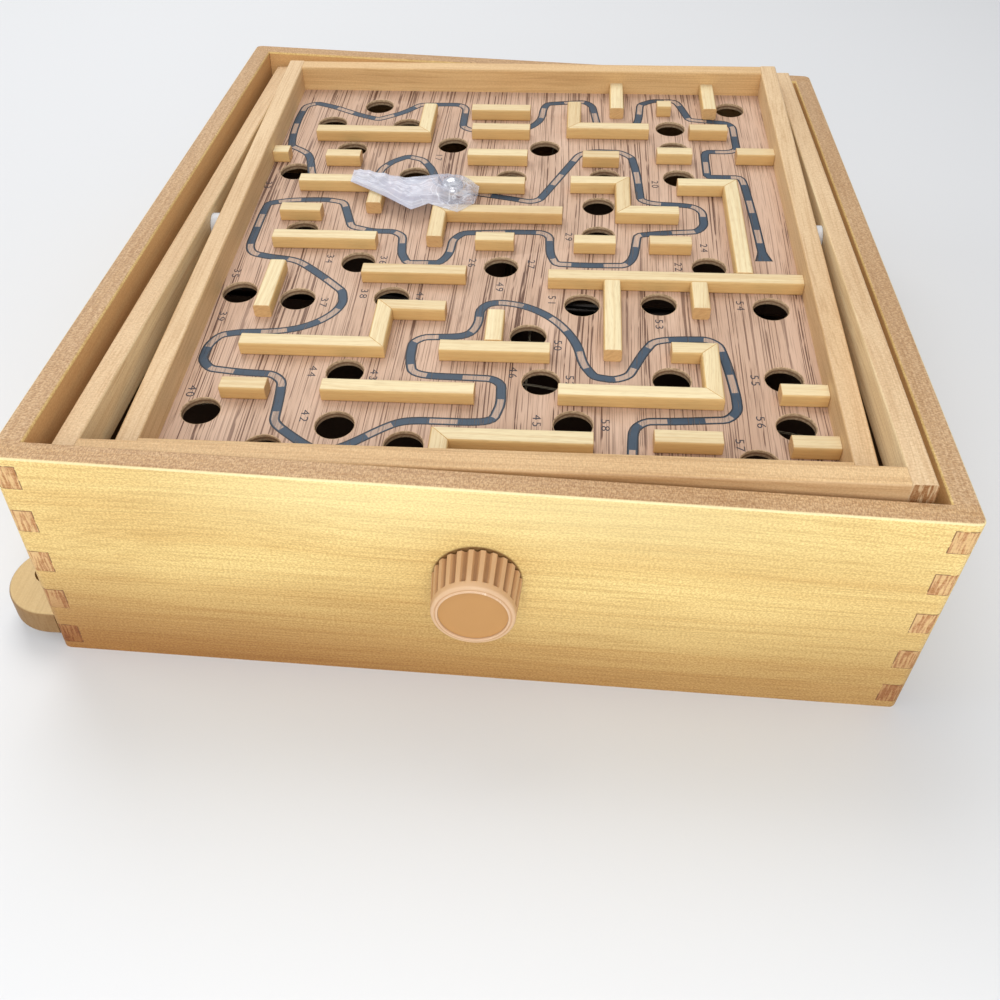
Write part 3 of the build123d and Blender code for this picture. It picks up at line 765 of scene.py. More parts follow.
class Bench:
    """Modelling moves that several pieces share, made with Blender's own operators."""

    @staticmethod
    def pick(*things: Piece) -> None:
        """Select these objects and nothing else.

        Args:
            *things: What to select; the last one is made active.
        """
        for other in list(bpy.context.selected_objects):
            other.select_set(False)
        for thing in things:
            thing.select_set(True)
            bpy.context.view_layer.objects.active = thing

    @staticmethod
    @contextmanager
    def editing(piece: Piece, kind: str) -> Iterator[bmesh.types.BMesh]:
        """Edit mode on one piece, with nothing selected.

        Args:
            piece: The piece to shape.
            kind: What is selected: VERT, EDGE or FACE.

        Yields:
            The mesh in edit mode.
        """
        Bench.pick(piece)
        bpy.ops.object.mode_set(mode="EDIT")
        bpy.ops.mesh.select_mode(type=kind)
        bpy.ops.mesh.select_all(action="DESELECT")
        try:
            yield bmesh.from_edit_mesh(piece.data)
        finally:
            bpy.ops.object.mode_set(mode="OBJECT")

    @staticmethod
    def mark(piece: Piece, mesh: bmesh.types.BMesh, parts: Sequence[Any]) -> None:
        """Select these faces, edges or points in edit mode.

        Args:
            piece: The piece in edit mode.
            mesh: Its mesh in edit mode.
            parts: What to select.
        """
        for part in parts:
            part.select_set(True)
        mesh.select_flush_mode()
        bmesh.update_edit_mesh(piece.data)

    @staticmethod
    def named(name: str) -> Piece:
        """Name the active object and put its place into its mesh.

        Args:
            name: Its new name.

        Returns:
            The active object.
        """
        piece = bpy.context.object
        piece.name = name
        piece.data.name = name
        bpy.ops.object.transform_apply(location=True, rotation=True, scale=True)
        return piece

    @staticmethod
    def made(name: str, add: Callable[..., Any], **settings: Any) -> Piece:
        """A new piece, with its place in its mesh.

        Args:
            name: Name of the piece.
            add: Blender's operator that adds it.
            **settings: Settings of that operator.

        Returns:
            The piece.
        """
        Bench.pick()
        add(**settings)
        return Bench.named(name)

    @staticmethod
    def joined(name: str, pieces: Sequence[Piece]) -> Piece:
        """One piece made of several.

        Args:
            name: Name of the joined piece.
            pieces: What to join.

        Returns:
            The joined piece.
        """
        Bench.pick(*pieces)
        if len(pieces) > 1:
            bpy.ops.object.join()
        piece = bpy.context.object
        piece.name = name
        piece.data.name = name
        return piece

    @staticmethod
    def apply(piece: Piece, kind: str, **settings: Any) -> None:
        """Add a modifier to a piece and apply it.

        Args:
            piece: The piece to change.
            kind: The modifier's type.
            **settings: Its properties.
        """
        Bench.pick(piece)
        modifier = piece.modifiers.new(kind.title(), kind)
        for key, value in settings.items():
            setattr(modifier, key, value)
        bpy.ops.object.modifier_apply(modifier=modifier.name)

    @staticmethod
    def smooth(piece: Piece, degrees: float) -> None:
        """Shade smooth below an angle."""
        Bench.pick(piece)
        bpy.ops.object.shade_smooth_by_angle(angle=math.radians(degrees))

    @staticmethod
    def dress(piece: Piece, *materials: Material) -> None:
        """Give a piece its materials.

        Args:
            piece: The piece to dress.
            *materials: One for each slot that its faces already name.
        """
        slots = [part.material_index for part in piece.data.polygons]
        piece.data.materials.clear()
        for material in materials:
            piece.data.materials.append(material)
        piece.data.polygons.foreach_set("material_index", slots)

    @staticmethod
    def dress_nodes(material: Material, *nodes: str) -> None:
        """Give nodes of the CAD model one material.

        Args:
            material: The material.
            *nodes: Names of the nodes.
        """
        for node in nodes:
            Bench.dress(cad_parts[node], material)
            log.info("%s dressed", node)

    @staticmethod
    def settle(piece: Piece, body: str, slot: str, pose: Optional[Matrix] = None,
               stands_for: Sequence[str] = ()) -> Piece:
        """Put a finished piece in its place and hand it to its body.

        Args:
            piece: The finished piece, drawn in its body's own directions.
            body: Body that it rides on.
            slot: The record's material slot; not used.
            pose: Pose of that body at rest, where the piece was drawn in it.
            stands_for: CAD nodes that it replaces.

        Returns:
            The piece.
        """
        if pose is not None:
            piece.data.transform(pose)
        piece.data.update()
        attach(piece, body)
        if stands_for:
            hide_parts(*stands_for)
        log.info("%s rides on %s", piece.name, body)
        return piece

    @staticmethod
    def sheet(name: str, steps: int, rows: int, place: Callable[[float, float], Vector]) -> Piece:
        """A grid bent to a shape, with its map left from 0 to 1 both ways.

        Args:
            name: Name of the piece.
            steps: Cells along its length.
            rows: Cells across it.
            place: Where a point goes, from its two shares of 0 to 1.

        Returns:
            The bent sheet.
        """
        piece = Bench.made(name, bpy.ops.mesh.primitive_grid_add, x_subdivisions=steps, y_subdivisions=rows,
                           size=1.0, calc_uvs=True)
        for point in piece.data.vertices:
            point.co = place(point.co.x + 0.5, point.co.y + 0.5)
        return piece

    @staticmethod
    def line(points: Sequence[Vector], order: int = 3, resolution: int = 6) -> List[Vector]:
        """Points of a smooth spline that is led by the given points.

        Args:
            points: Control points in order.
            order: Order of the spline.
            resolution: Steps between two control points.

        Returns:
            Points along the spline.
        """
        curve = bpy.data.curves.new("guide", "CURVE")
        curve.dimensions = "3D"
        curve.resolution_u = resolution
        spline = curve.splines.new("NURBS")
        spline.points.add(len(points) - 1)
        for knot, point in zip(spline.points, points):
            knot.co = (*point, 1.0)
        spline.order_u = order
        spline.use_endpoint_u = True
        holder = bpy.data.objects.new("guide", curve)
        bpy.context.scene.collection.objects.link(holder)
        bpy.context.view_layer.update()
        mesh = bpy.data.meshes.new_from_object(holder)
        found = [point.co.copy() for point in mesh.vertices]
        bpy.data.objects.remove(holder)
        bpy.data.curves.remove(curve)
        bpy.data.meshes.remove(mesh)
        return found

    @staticmethod
    def evenly(points: Sequence[Vector], step: float) -> Tuple[List[Vector], float]:
        """The same line in equal steps.

        Args:
            points: Points along the line.
            step: Wanted step in metres.

        Returns:
            Points at equal distances, and the whole length.
        """
        gaps = [(b - a).length for a, b in zip(points, points[1:])]
        length = sum(gaps)
        count = max(2, round(length / step))
        found, done, k = [points[0].copy()], 0.0, 0
        for n in range(1, count):
            goal = length * n / count
            while done + gaps[k] < goal:
                done += gaps[k]
                k += 1
            found.append(points[k].lerp(points[k + 1], (goal - done) / gaps[k]))
        found.append(points[-1].copy())
        return found, length


@dataclass
class Case:
    """The finger-jointed box, its sloping return board and the ball tray outside."""

    front: FingerWood = FingerWood(
        "wood_case_wide", paint(252, 228, 156), paint(226, 182, 108), paint(212, 166, 122), Along.WIDTH,
        top=paint(216, 182, 140), top_share=1.0, fleck=0.5, speck=0.55)
    flank: FingerWood = FingerWood(
        "wood_case_deep", paint(246, 220, 154), paint(212, 168, 104), paint(214, 168, 122), Along.DEPTH,
        top=paint(220, 188, 148), top_share=1.0, fleck=0.5, speck=0.55)
    ledge: Wood = Wood(
        "wood_batten", paint(196, 150, 96), paint(150, 104, 60), paint(170, 124, 80), Along.DEPTH)
    tray: Wood = Wood(
        "wood_tray", paint(152, 120, 80), paint(130, 98, 62), paint(150, 118, 78), Along.DEPTH,
        top=paint(214, 188, 138), top_share=1.0, streak_share=0.15, speck=0.12, hairs=0.15, fleck=0.05,
        rings=0.4)

    def build(self) -> None:
        """Dress the walls, the return board, its battens and the tray."""
        Bench.dress_nodes(self.front.material(), "front_wall", "back_wall")
        Bench.dress_nodes(self.flank.material(), "left_wall", "right_wall")
        Bench.dress_nodes(self.ledge.material(), "left_batten", "right_batten")
        Bench.dress_nodes(self.tray.material(), "ball_tray")
        Bench.dress_nodes(self.hardboard(), "return_board")

    def hardboard(self) -> Material:
        """Make a dark pressed board with a felted face.

        Returns:
            The finished material.
        """
        shop = NodeShop("hardboard_dark")
        place = shop.place(Pose.CASE)
        felt = shop.cloud(place, scale=900, detail=4, rough=0.7)
        dust = shop.cloud(place, scale=26, detail=3)
        colour = shop.mix(felt * 0.6, paint(66, 46, 32), paint(34, 24, 18))
        return shop.finish(Base_Color=shop.mix(dust * 0.15, colour, paint(120, 100, 80)), Roughness=0.8,
                           Specular_IOR_Level=0.2, Normal=shop.bump(felt, 0.15 * MM))


@dataclass
class TiltingFrame:
    """Four rails that tilt left and right, with their pins and washers."""

    # The side rails' upright faces are painted paler than their tops: painted light on faces that lie in shade
    side: Wood = Wood(
        "wood_frame_side", paint(246, 226, 184), paint(206, 166, 116), paint(176, 136, 96), Along.DEPTH,
        Pose.FRAME, top=paint(234, 204, 164), streak_share=0.6, speck=0.25, fleck=0.25)
    end: Wood = Wood(
        "wood_frame_end", paint(212, 178, 134), paint(168, 126, 84), paint(176, 136, 96), Along.WIDTH,
        Pose.FRAME, top=paint(236, 202, 152), streak_share=0.6, speck=0.25, fleck=0.25)

    def build(self) -> None:
        """Dress the rails."""
        Bench.dress_nodes(self.side.material(), "frame_left_rail", "frame_right_rail")
        Bench.dress_nodes(self.end.material(), "frame_front_rail", "frame_back_rail")


@dataclass
class MazeBoard:
    """The plywood board with its holes, printed line and numbers, rails round it and strips on it."""

    column: float = 219 / 40 * MM
    row: float = 258 / 48 * MM
    half_width: float = 109.5 * MM
    half_depth: float = 129.0 * MM
    face: float = -5.0 * MM
    thickness: float = 2.5 * MM
    right_extra: float = 1.0 * MM
    hole: float = 6.5 * MM
    rim: float = 0.35 * MM
    close: float = 0.02 * MM
    level: float = 0.001 * MM
    strip_width: float = 6.4 * MM
    strip_height: float = 5.3 * MM
    strip_round: float = 1.0 * MM
    strip_rim: float = 0.16 * MM
    end_facing: float = 0.6
    tone_seed: int = 7
    sharp_turn: float = math.radians(32)
    line_width: float = 3.7 * MM
    line_step: float = 1.6 * MM
    flare_length: float = 6.0 * MM
    corner_reach: float = 3.4 * MM
    number_size: float = 4.1 * MM
    number_gap: float = 1.25
    number_width: float = 1.3
    print_lift: float = 0.03 * MM
    side: Wood = Wood("wood_board_side", paint(228, 198, 152), paint(188, 146, 98), paint(206, 166, 120),
                      Along.DEPTH, Pose.BOARD, top=paint(234, 206, 166), speck=0.22)
    end: Wood = Wood("wood_board_end", paint(226, 190, 136), paint(184, 138, 88), paint(206, 166, 120),
                     Along.WIDTH, Pose.BOARD, top=paint(234, 200, 150), speck=0.22)
    # Centres of the holes, then middle lines of the strips, in columns and rows from the middle
    holes: Tuple[Point2, ...] = (
        (-18.6, -7.0), (-14.4, -7.6), (-10.9, -3.0), (-0.6, -3.2), (-7.9, -7.2), (-9.8, -15.3),
        (-18.1, -19.4), (-9.6, -20.3), (-5.2, -21.9), (-13.6, -22.6), (5.2, -7.5), (10.4, -7.2),
        (17.9, -7.4), (1.7, -11.1), (2.7, -15.7), (10.9, -15.2), (17.9, -14.8), (4.8, -19.6),
        (18.1, -19.2), (15.6, -22.5), (14.1, -2.7), (6.3, 1.1), (-12.8, 21.0), (-16.4, 17.7),
        (-9.9, 17.5), (-5.7, 14.3), (-14.0, 13.3), (-18.0, 9.6), (-8.3, 9.3), (-0.6, 9.1), (1.9, 14.0),
        (17.5, 21.2), (12.3, 17.7), (12.4, 14.1), (12.6, 9.6), (6.8, 9.5), (6.3, 5.2), (-15.8, 1.0))
    walls: Dict[str, Tuple[Tuple[Point2, ...], ...]] = field(default_factory=lambda: {
        "maze_left_zigzag": (((-16.9, -13.3), (-8.0, -13.3), (-8.0, -9.2), (-3.9, -9.2)),),
        "maze_front_corner": (((6.0, -21.7), (-3.0, -21.7), (-3.0, -24)),),
        "maze_centre_tee": (((-3.9, -13.4), (3.2, -13.4)), ((-0.5, -12.805), (-0.5, -9.5))),
        "maze_long_comb": (((2.8, -5.2), (20.18, -5.2)), ((7.2, -13.5), (7.2, -5.795)),
                           ((13.1, -8.8), (13.1, -5.795))),
        "maze_right_hook": (((3.8, -17.4), (13.3, -17.4), (13.3, -13.0), (10.9, -13.0)),),
        "maze_back_left_corner": (((-17.1, 15.1), (-8.1, 15.1), (-8.1, 19.7)),),
        "maze_left_corner": (((-17.0, 7.1), (-10.7, 7.1), (-10.7, 3.5)),),
        "maze_centre_corner": (((3.6, 3.0), (-5.6, 3.0), (-5.6, -0.9)),),
        "maze_back_right_corner": (((10.4, 16.2), (4.2, 16.2), (4.2, 20.4)),),
        "maze_right_zigzag": (((4.1, 7.5), (8.1, 7.5), (8.1, 3.3), (12.2, 3.3)),),
        "maze_right_corner": (((12.3, 7.4), (16.3, 7.4), (16.3, -4.605)),),
        "maze_left_bars": (((-17.4, -0.9), (-9.8, -0.9)), ((-10.2, -5.0), (-2.9, -5.0)),
                           ((-10.8, -17.6), (-1.3, -17.6))),
        "maze_centre_bars": (((-4.5, 19.2), (0.5, 19.2)), ((-4.2, 15.8), (0.6, 15.8)),
                             ((-4.2, 11.5), (0.6, 11.5)), ((-4.2, 7.2), (0.6, 7.2))),
        "maze_left_upright": (((-16.3, -9.8), (-16.3, -4.3)),),
        "maze_back_uprights": (((7.8, 19.3), (7.8, 24)), ((15.6, 19.4), (15.6, 24))),
        "maze_front_blocks": (((-17.1, -17.7), (-14.2, -17.7)), ((9.5, -21.3), (13.5, -21.3)),
                              ((17.3, -16.8), (20.18, -16.8)), ((17.4, -21.4), (20.18, -21.4))),
        "maze_middle_blocks": (((-2.6, -0.7), (0.2, -0.7)), ((4.5, -0.8), (7.5, -0.8)),
                               ((9.9, -0.7), (12.9, -0.7)), ((-17.6, 2.8), (-14.5, 2.8))),
        "maze_back_blocks": (((-20, 11.5), (-18.7, 11.5)), ((-15.6, 11.0), (-12.8, 11.0)),
                             ((11.2, 20.3), (12.4, 20.3)), ((13.7, 16.2), (16.8, 16.2)),
                             ((17.2, 12.3), (20.18, 12.3)), ((10.9, 12.2), (13.7, 12.2)),
                             ((5.0, 11.5), (7.9, 11.5))),
    })
    # Leading points of the printed line, then the plain numbers and their places, in millimetres
    route: Tuple[Point2, ...] = (
        (98.3, -12), (97.8, 10), (96.8, 30), (96, 45), (95, 49.7), (88, 49.7), (81, 49.7), (81, 58),
        (81, 68), (82, 71), (92, 71), (95.5, 73), (95.5, 84), (95.5, 94), (93, 97.5), (85, 98.5),
        (76, 100), (72, 115), (70, 118), (60, 118), (54, 114), (53, 100), (51, 92), (46, 89), (38, 89),
        (34, 93), (33, 100), (31.5, 112), (28, 116), (20, 115), (10, 113.5), (8.5, 108), (8, 98),
        (4, 91.5), (0, 88), (-12, 87), (-24, 87), (-28, 90), (-28, 108), (-31, 111.5), (-37, 111.5),
        (-50, 111), (-57, 103), (-68, 96), (-78, 100), (-90, 107), (-100, 111), (-105, 108), (-106, 95),
        (-105.5, 80), (-104, 70), (-98, 66), (-94, 62), (-91.5, 52), (-90, 46), (-86, 39), (-78, 36),
        (-68, 38), (-61, 44), (-60, 52), (-56, 58), (-50, 62.5), (-43, 60), (-38, 52), (-35, 42),
        (-30, 36), (-18, 33), (0, 29), (6, 27), (10, 29), (24, 62), (26, 67), (32, 70), (44, 69.5),
        (49, 65), (51, 50), (52, 30), (57, 27.5), (68, 27), (74, 26), (77, 22), (77, 12), (74, 7.5),
        (60, 6), (50, 4), (49, -5), (48, -12), (45, -17), (30, -17.5), (18, -17), (15.5, -10), (15, 2),
        (12, 4.5), (0, 4.5), (-20, 3), (-23.5, -2), (-24, -12), (-27, -18), (-40, -18.5), (-43, -12),
        (-44, 0), (-48, 3), (-57, 3), (-66, 6), (-70, 18), (-72, 24), (-80, 26), (-95, 25), (-104, 22),
        (-104.5, 12), (-104.5, 0), (-104.5, -10), (-102, -14.5), (-95, -16.5), (-85, -18), (-80, -21),
        (-70, -30), (-62, -38), (-60.5, -45), (-63, -52), (-70, -59), (-80, -63), (-95, -64), (-102, -66),
        (-104.7, -72), (-104.7, -80), (-101, -84.5), (-90, -86), (-78, -86.5), (-74, -90), (-73, -100),
        (-72.5, -110), (-70, -113), (-61, -120), (-54, -124), (-46, -120), (-34, -110), (-28, -107.5),
        (-16, -107.5), (-5, -107.5), (0, -106), (2, -98), (1.5, -88), (-2, -85.5), (-14, -85.2),
        (-25, -85), (-30, -83), (-31.5, -75), (-31.5, -67), (-28, -64), (-15, -63.2), (-11, -61),
        (-9, -55), (-9, -47), (-6, -43), (0, -42.3), (10, -45), (20, -53), (27, -65), (29, -76),
        (33, -83), (40, -84.3), (45, -82), (50, -70), (54, -63), (60, -61.5), (73, -61), (77, -64),
        (79, -75), (80.5, -90), (80.5, -98), (77, -102.5), (60, -104), (50, -104.5), (46, -108),
        (45.5, -114), (45.3, -121))
    numbers: Tuple[Tuple[str, float, float], ...] = (
        ("35", -105.4, -28), ("39", -104.2, -55), ("37", -68, -45), ("34", -70.8, -17),
        ("38", -53.8, -39), ("47", -32.5, -40), ("49", -2.9, -32.7), ("36", -49.6, -17),
        ("26", -14.6, -17.5), ("44", -64.6, -84.4), ("43", -43, -85.4), ("42", -62.9, -107),
        ("40", -104.2, -96.5), ("27", 8.3, -17.5), ("51", 17.1, -40.2), ("53", 56.3, -52.9),
        ("54", 86.4, -40.6), ("50", 20, -66.5), ("46", 5, -82), ("52", 24.6, -85.4), ("45", 14.2, -105.8),
        ("58", 36.7, -106.7), ("55", 87.5, -82.3), ("56", 87.3, -103), ("57", 79.6, -114),
        ("24", 75.7, -3.8), ("22", 65, -17), ("29", 22.5, 2), ("17", -36.3, 62.4), ("33", -107.5, 36.6),
        ("20", 58.3, 43))

    def spot(self, across: float, back: float, up: float = 0.0) -> Vector:
        """Place on the board of a point of the print, which was drawn at a slightly smaller scale."""
        return Vector(((1.0065 * across - 0.2) * MM, (1.0107 * back + 2.9) * MM, self.face + up))

    def build(self) -> None:
        """Build and dress the board, its print and its strips."""
        Bench.dress_nodes(self.side.material(), "board_left_rail", "board_right_rail")
        Bench.dress_nodes(self.end.material(), "board_front_rail", "board_back_rail")
        self.plate()
        self.guide_line()
        self.figures()
        self.strips()

    def plate(self) -> None:
        """The plywood board, drilled and with a softened rim at each hole."""
        board = Bench.made("maze_plate", bpy.ops.mesh.primitive_cube_add, size=1,
                           location=(self.right_extra / 2, 0, self.face - self.thickness / 2),
                           scale=(2 * self.half_width + self.right_extra, 2 * self.half_depth,
                                  self.thickness))
        centres = [Vector((c * self.column, r * self.row, self.face)) for c, r in self.holes]
        drill = Bench.joined("drill", [
            Bench.made("drill", bpy.ops.mesh.primitive_cylinder_add, vertices=56, radius=self.hole,
                       depth=4 * self.thickness, location=centre) for centre in centres])
        Bench.apply(board, "BOOLEAN", operation="DIFFERENCE", object=drill, solver="EXACT")
        bpy.data.objects.remove(drill)
        with Bench.editing(board, "EDGE") as mesh:
            on_rim = {point for point in mesh.verts if abs(point.co.z - self.face) < self.level
                      and any(abs((point.co - centre).length - self.hole) < self.close for centre in centres)}
            rims = [edge for edge in mesh.edges
                    if on_rim.issuperset(edge.verts) and edge.calc_length() < 2 * MM]
            Bench.mark(board, mesh, rims)
            bpy.ops.mesh.bevel(offset=self.rim, segments=2, affect="EDGES")
        for part in board.data.polygons:
            over = Vector((part.center.x, part.center.y, self.face))
            near = min((over - centre).length for centre in centres)
            in_hole = near < self.hole + self.rim and part.center.z < self.face + self.level
            part.material_index = 1 if in_hole and abs(part.normal.z) < 0.99 else 0
        Bench.smooth(board, 30)
        Bench.dress(board, Veneer("veneer_maze").material(), PlyEdge("ply_edge").material())
        Bench.settle(board, "board", "plywood", IN_BOARD, ("playing_board",))

    def tightened(self, points: Sequence[Vector]) -> List[Vector]:
        """Make a line turn tightly at its sharp corners.

        Args:
            points: Leading points of the line.

        Returns:
            The same points, with one more on each side of a sharp corner.
        """
        reach = self.corner_reach
        found = [points[0]]
        for before, corner, after in zip(points, points[1:], points[2:]):
            sharp = (corner - before).angle(after - corner) > self.sharp_turn
            if sharp and (corner - before).length > 2 * reach:
                found.append(corner + (before - corner).normalized() * reach)
            found.append(corner)
            if sharp and (after - corner).length > 2 * reach:
                found.append(corner + (after - corner).normalized() * reach)
        return [*found, points[-1]]

    def guide_line(self) -> None:
        """The printed line that shows the ball's way, as one thin ribbon on the board."""
        led = Bench.line(self.tightened([self.spot(*point) for point in self.route]))
        middle, length = Bench.evenly(led, self.line_step)
        steps = len(middle) - 1

        def place(along: float, across: float) -> Vector:
            """Place on the board of a point of the ribbon.

            Args:
                along: Share of the line's length.
                across: Share of its width.

            Returns:
                The place.
            """
            k = min(round(along * steps), steps)
            way = (middle[min(k + 1, steps)] - middle[max(k - 1, 0)]).normalized()
            flare = 1 + 0.9 * max(0.0, 1 - along * length / self.flare_length)
            out = Vector((-way.y, way.x, 0)) * (across - 0.5) * self.line_width * flare
            return middle[k] + out + Vector((0, 0, self.print_lift))

        ribbon = Bench.sheet("guide_line", steps, 2, place)
        ink = Print("ink_line", paint(62, 80, 98), paint(28, 34, 42), paint(196, 180, 168), length=length)
        Bench.dress(ribbon, ink.material())
        Bench.settle(ribbon, "board", "plywood", IN_BOARD)

    def figures(self) -> None:
        """Plain numbers beside the holes, read from the left of the board."""
        made = []
        for text, across, back in self.numbers:
            Bench.pick()
            bpy.ops.object.text_add(location=self.spot(across, back, self.print_lift),
                                    rotation=(0, 0, math.radians(-90)))
            label = bpy.context.object
            label.data.body = text
            label.data.size = self.number_size
            label.data.align_x = "CENTER"
            label.data.align_y = "CENTER"
            label.data.space_character = self.number_gap
            label.scale = (self.number_width, 1, 1)
            bpy.ops.object.convert(target="MESH")
            made.append(Bench.named("number"))
        numbers = Bench.joined("hole_numbers", made)
        Bench.dress(numbers, Print("ink_numbers", paint(64, 58, 64), paint(40, 40, 48)).material())
        Bench.settle(numbers, "board", "plywood", IN_BOARD)

    def leg(self, start: Vector, end: Vector, before: Optional[Vector], after: Optional[Vector],
            tone: float) -> Piece:
        """One strip of a wall, rounded along its length and mitred where it meets its neighbours.

        Args:
            start: Where its middle line starts.
            end: Where it ends.
            before: Way of the leg before it, or None at a free end.
            after: Way of the leg after it, or None at a free end.
            tone: How dark this piece of wood is, from 0 to 1.

        Returns:
            The strip.
        """
        way = (end - start).normalized()
        half = self.strip_width / 2
        first = start - way * half if before is not None else start
        last = end + way * half if after is not None else end
        strip = Bench.made("strip", bpy.ops.mesh.primitive_cube_add, size=1, location=(first + last) / 2,
                           rotation=(0, 0, math.atan2(way.y, way.x)),
                           scale=((last - first).length, self.strip_width, self.strip_height))
        with Bench.editing(strip, "EDGE") as mesh:
            Bench.mark(strip, mesh, [e for e in mesh.edges
                                     if abs((e.verts[0].co - e.verts[1].co).normalized().dot(way)) > 0.99])
            bpy.ops.mesh.bevel(offset=self.strip_round, segments=3, profile=0.55, affect="EDGES")
        for corner, cut, keep in ((start, before, 1), (end, after, -1)):
            if cut is not None:
                with Bench.editing(strip, "FACE"):
                    bpy.ops.mesh.select_all(action="SELECT")
                    bpy.ops.mesh.bisect(plane_co=corner, plane_no=(cut + way).normalized(), use_fill=True,
                                        clear_inner=keep > 0, clear_outer=keep < 0)
        with Bench.editing(strip, "EDGE") as mesh:
            rims = [e for e in mesh.edges
                    if sorted(self.closes(f, way) for f in e.link_faces) == [False, True]]
            Bench.mark(strip, mesh, rims)
            bpy.ops.mesh.bevel(offset=self.strip_rim, segments=1, affect="EDGES")
        self.map_leg(strip, way, tone)
        return strip

    def closes(self, part: Any, way: Vector) -> bool:
        """Whether a face closes a strip at an end or a mitre."""
        return abs(part.normal.dot(way)) > self.end_facing

    def map_leg(self, strip: Piece, way: Vector, tone: float) -> None:
        """Map a strip in metres along its grain, mark its ends for their own material, and store its tone.

        Args:
            strip: The strip.
            way: Way that it runs.
            tone: How dark it is, from 0 to 1, which also moves its map to another part of the grain.
        """
        side = Vector((-way.y, way.x, 0))
        sheet = strip.data.uv_layers.active or strip.data.uv_layers.new(name="UVMap")
        for part in strip.data.polygons:
            at_end = self.closes(part, way)
            part.material_index = 1 if at_end else 0
            for loop in part.loop_indices:
                co = strip.data.vertices[strip.data.loops[loop].vertex_index].co
                across = side.dot(co) + co.z * (1 if abs(part.normal.z) > 0.7 else 1.6)
                sheet.data[loop].uv = (co.z if at_end else way.dot(co) + 3 * tone, across)
        shade = strip.data.attributes.new("tone", "FLOAT", "POINT")
        shade.data.foreach_set("value", [tone] * len(strip.data.vertices))

    def strips(self) -> None:
        """All glued strips of the maze, one piece for each of its walls."""
        random.seed(self.tone_seed)
        pine = StripWood("wood_strip", paint(234, 218, 176), paint(218, 184, 124), paint(200, 156, 98))
        cut = StripWood("wood_strip_end", paint(228, 196, 142), paint(214, 176, 122), paint(172, 126, 80),
                        end=True)
        woods = (pine.material(), cut.material())
        lift = self.face + self.strip_height / 2
        for node, runs in self.walls.items():
            legs = []
            for run in runs:
                corners = [Vector((c * self.column, r * self.row, lift)) for c, r in run]
                ways = [(b - a).normalized() for a, b in zip(corners, corners[1:])]
                for k in range(len(ways)):
                    legs.append(self.leg(corners[k], corners[k + 1], ways[k - 1] if k else None,
                                         ways[k + 1] if k + 1 < len(ways) else None, random.random()))
                    Bench.dress(legs[-1], *woods)
            wall = Bench.joined(node.replace("maze_", "strips_"), legs)
            Bench.smooth(wall, 40)
            Bench.settle(wall, "board", "strip_wood", IN_BOARD, (node,))


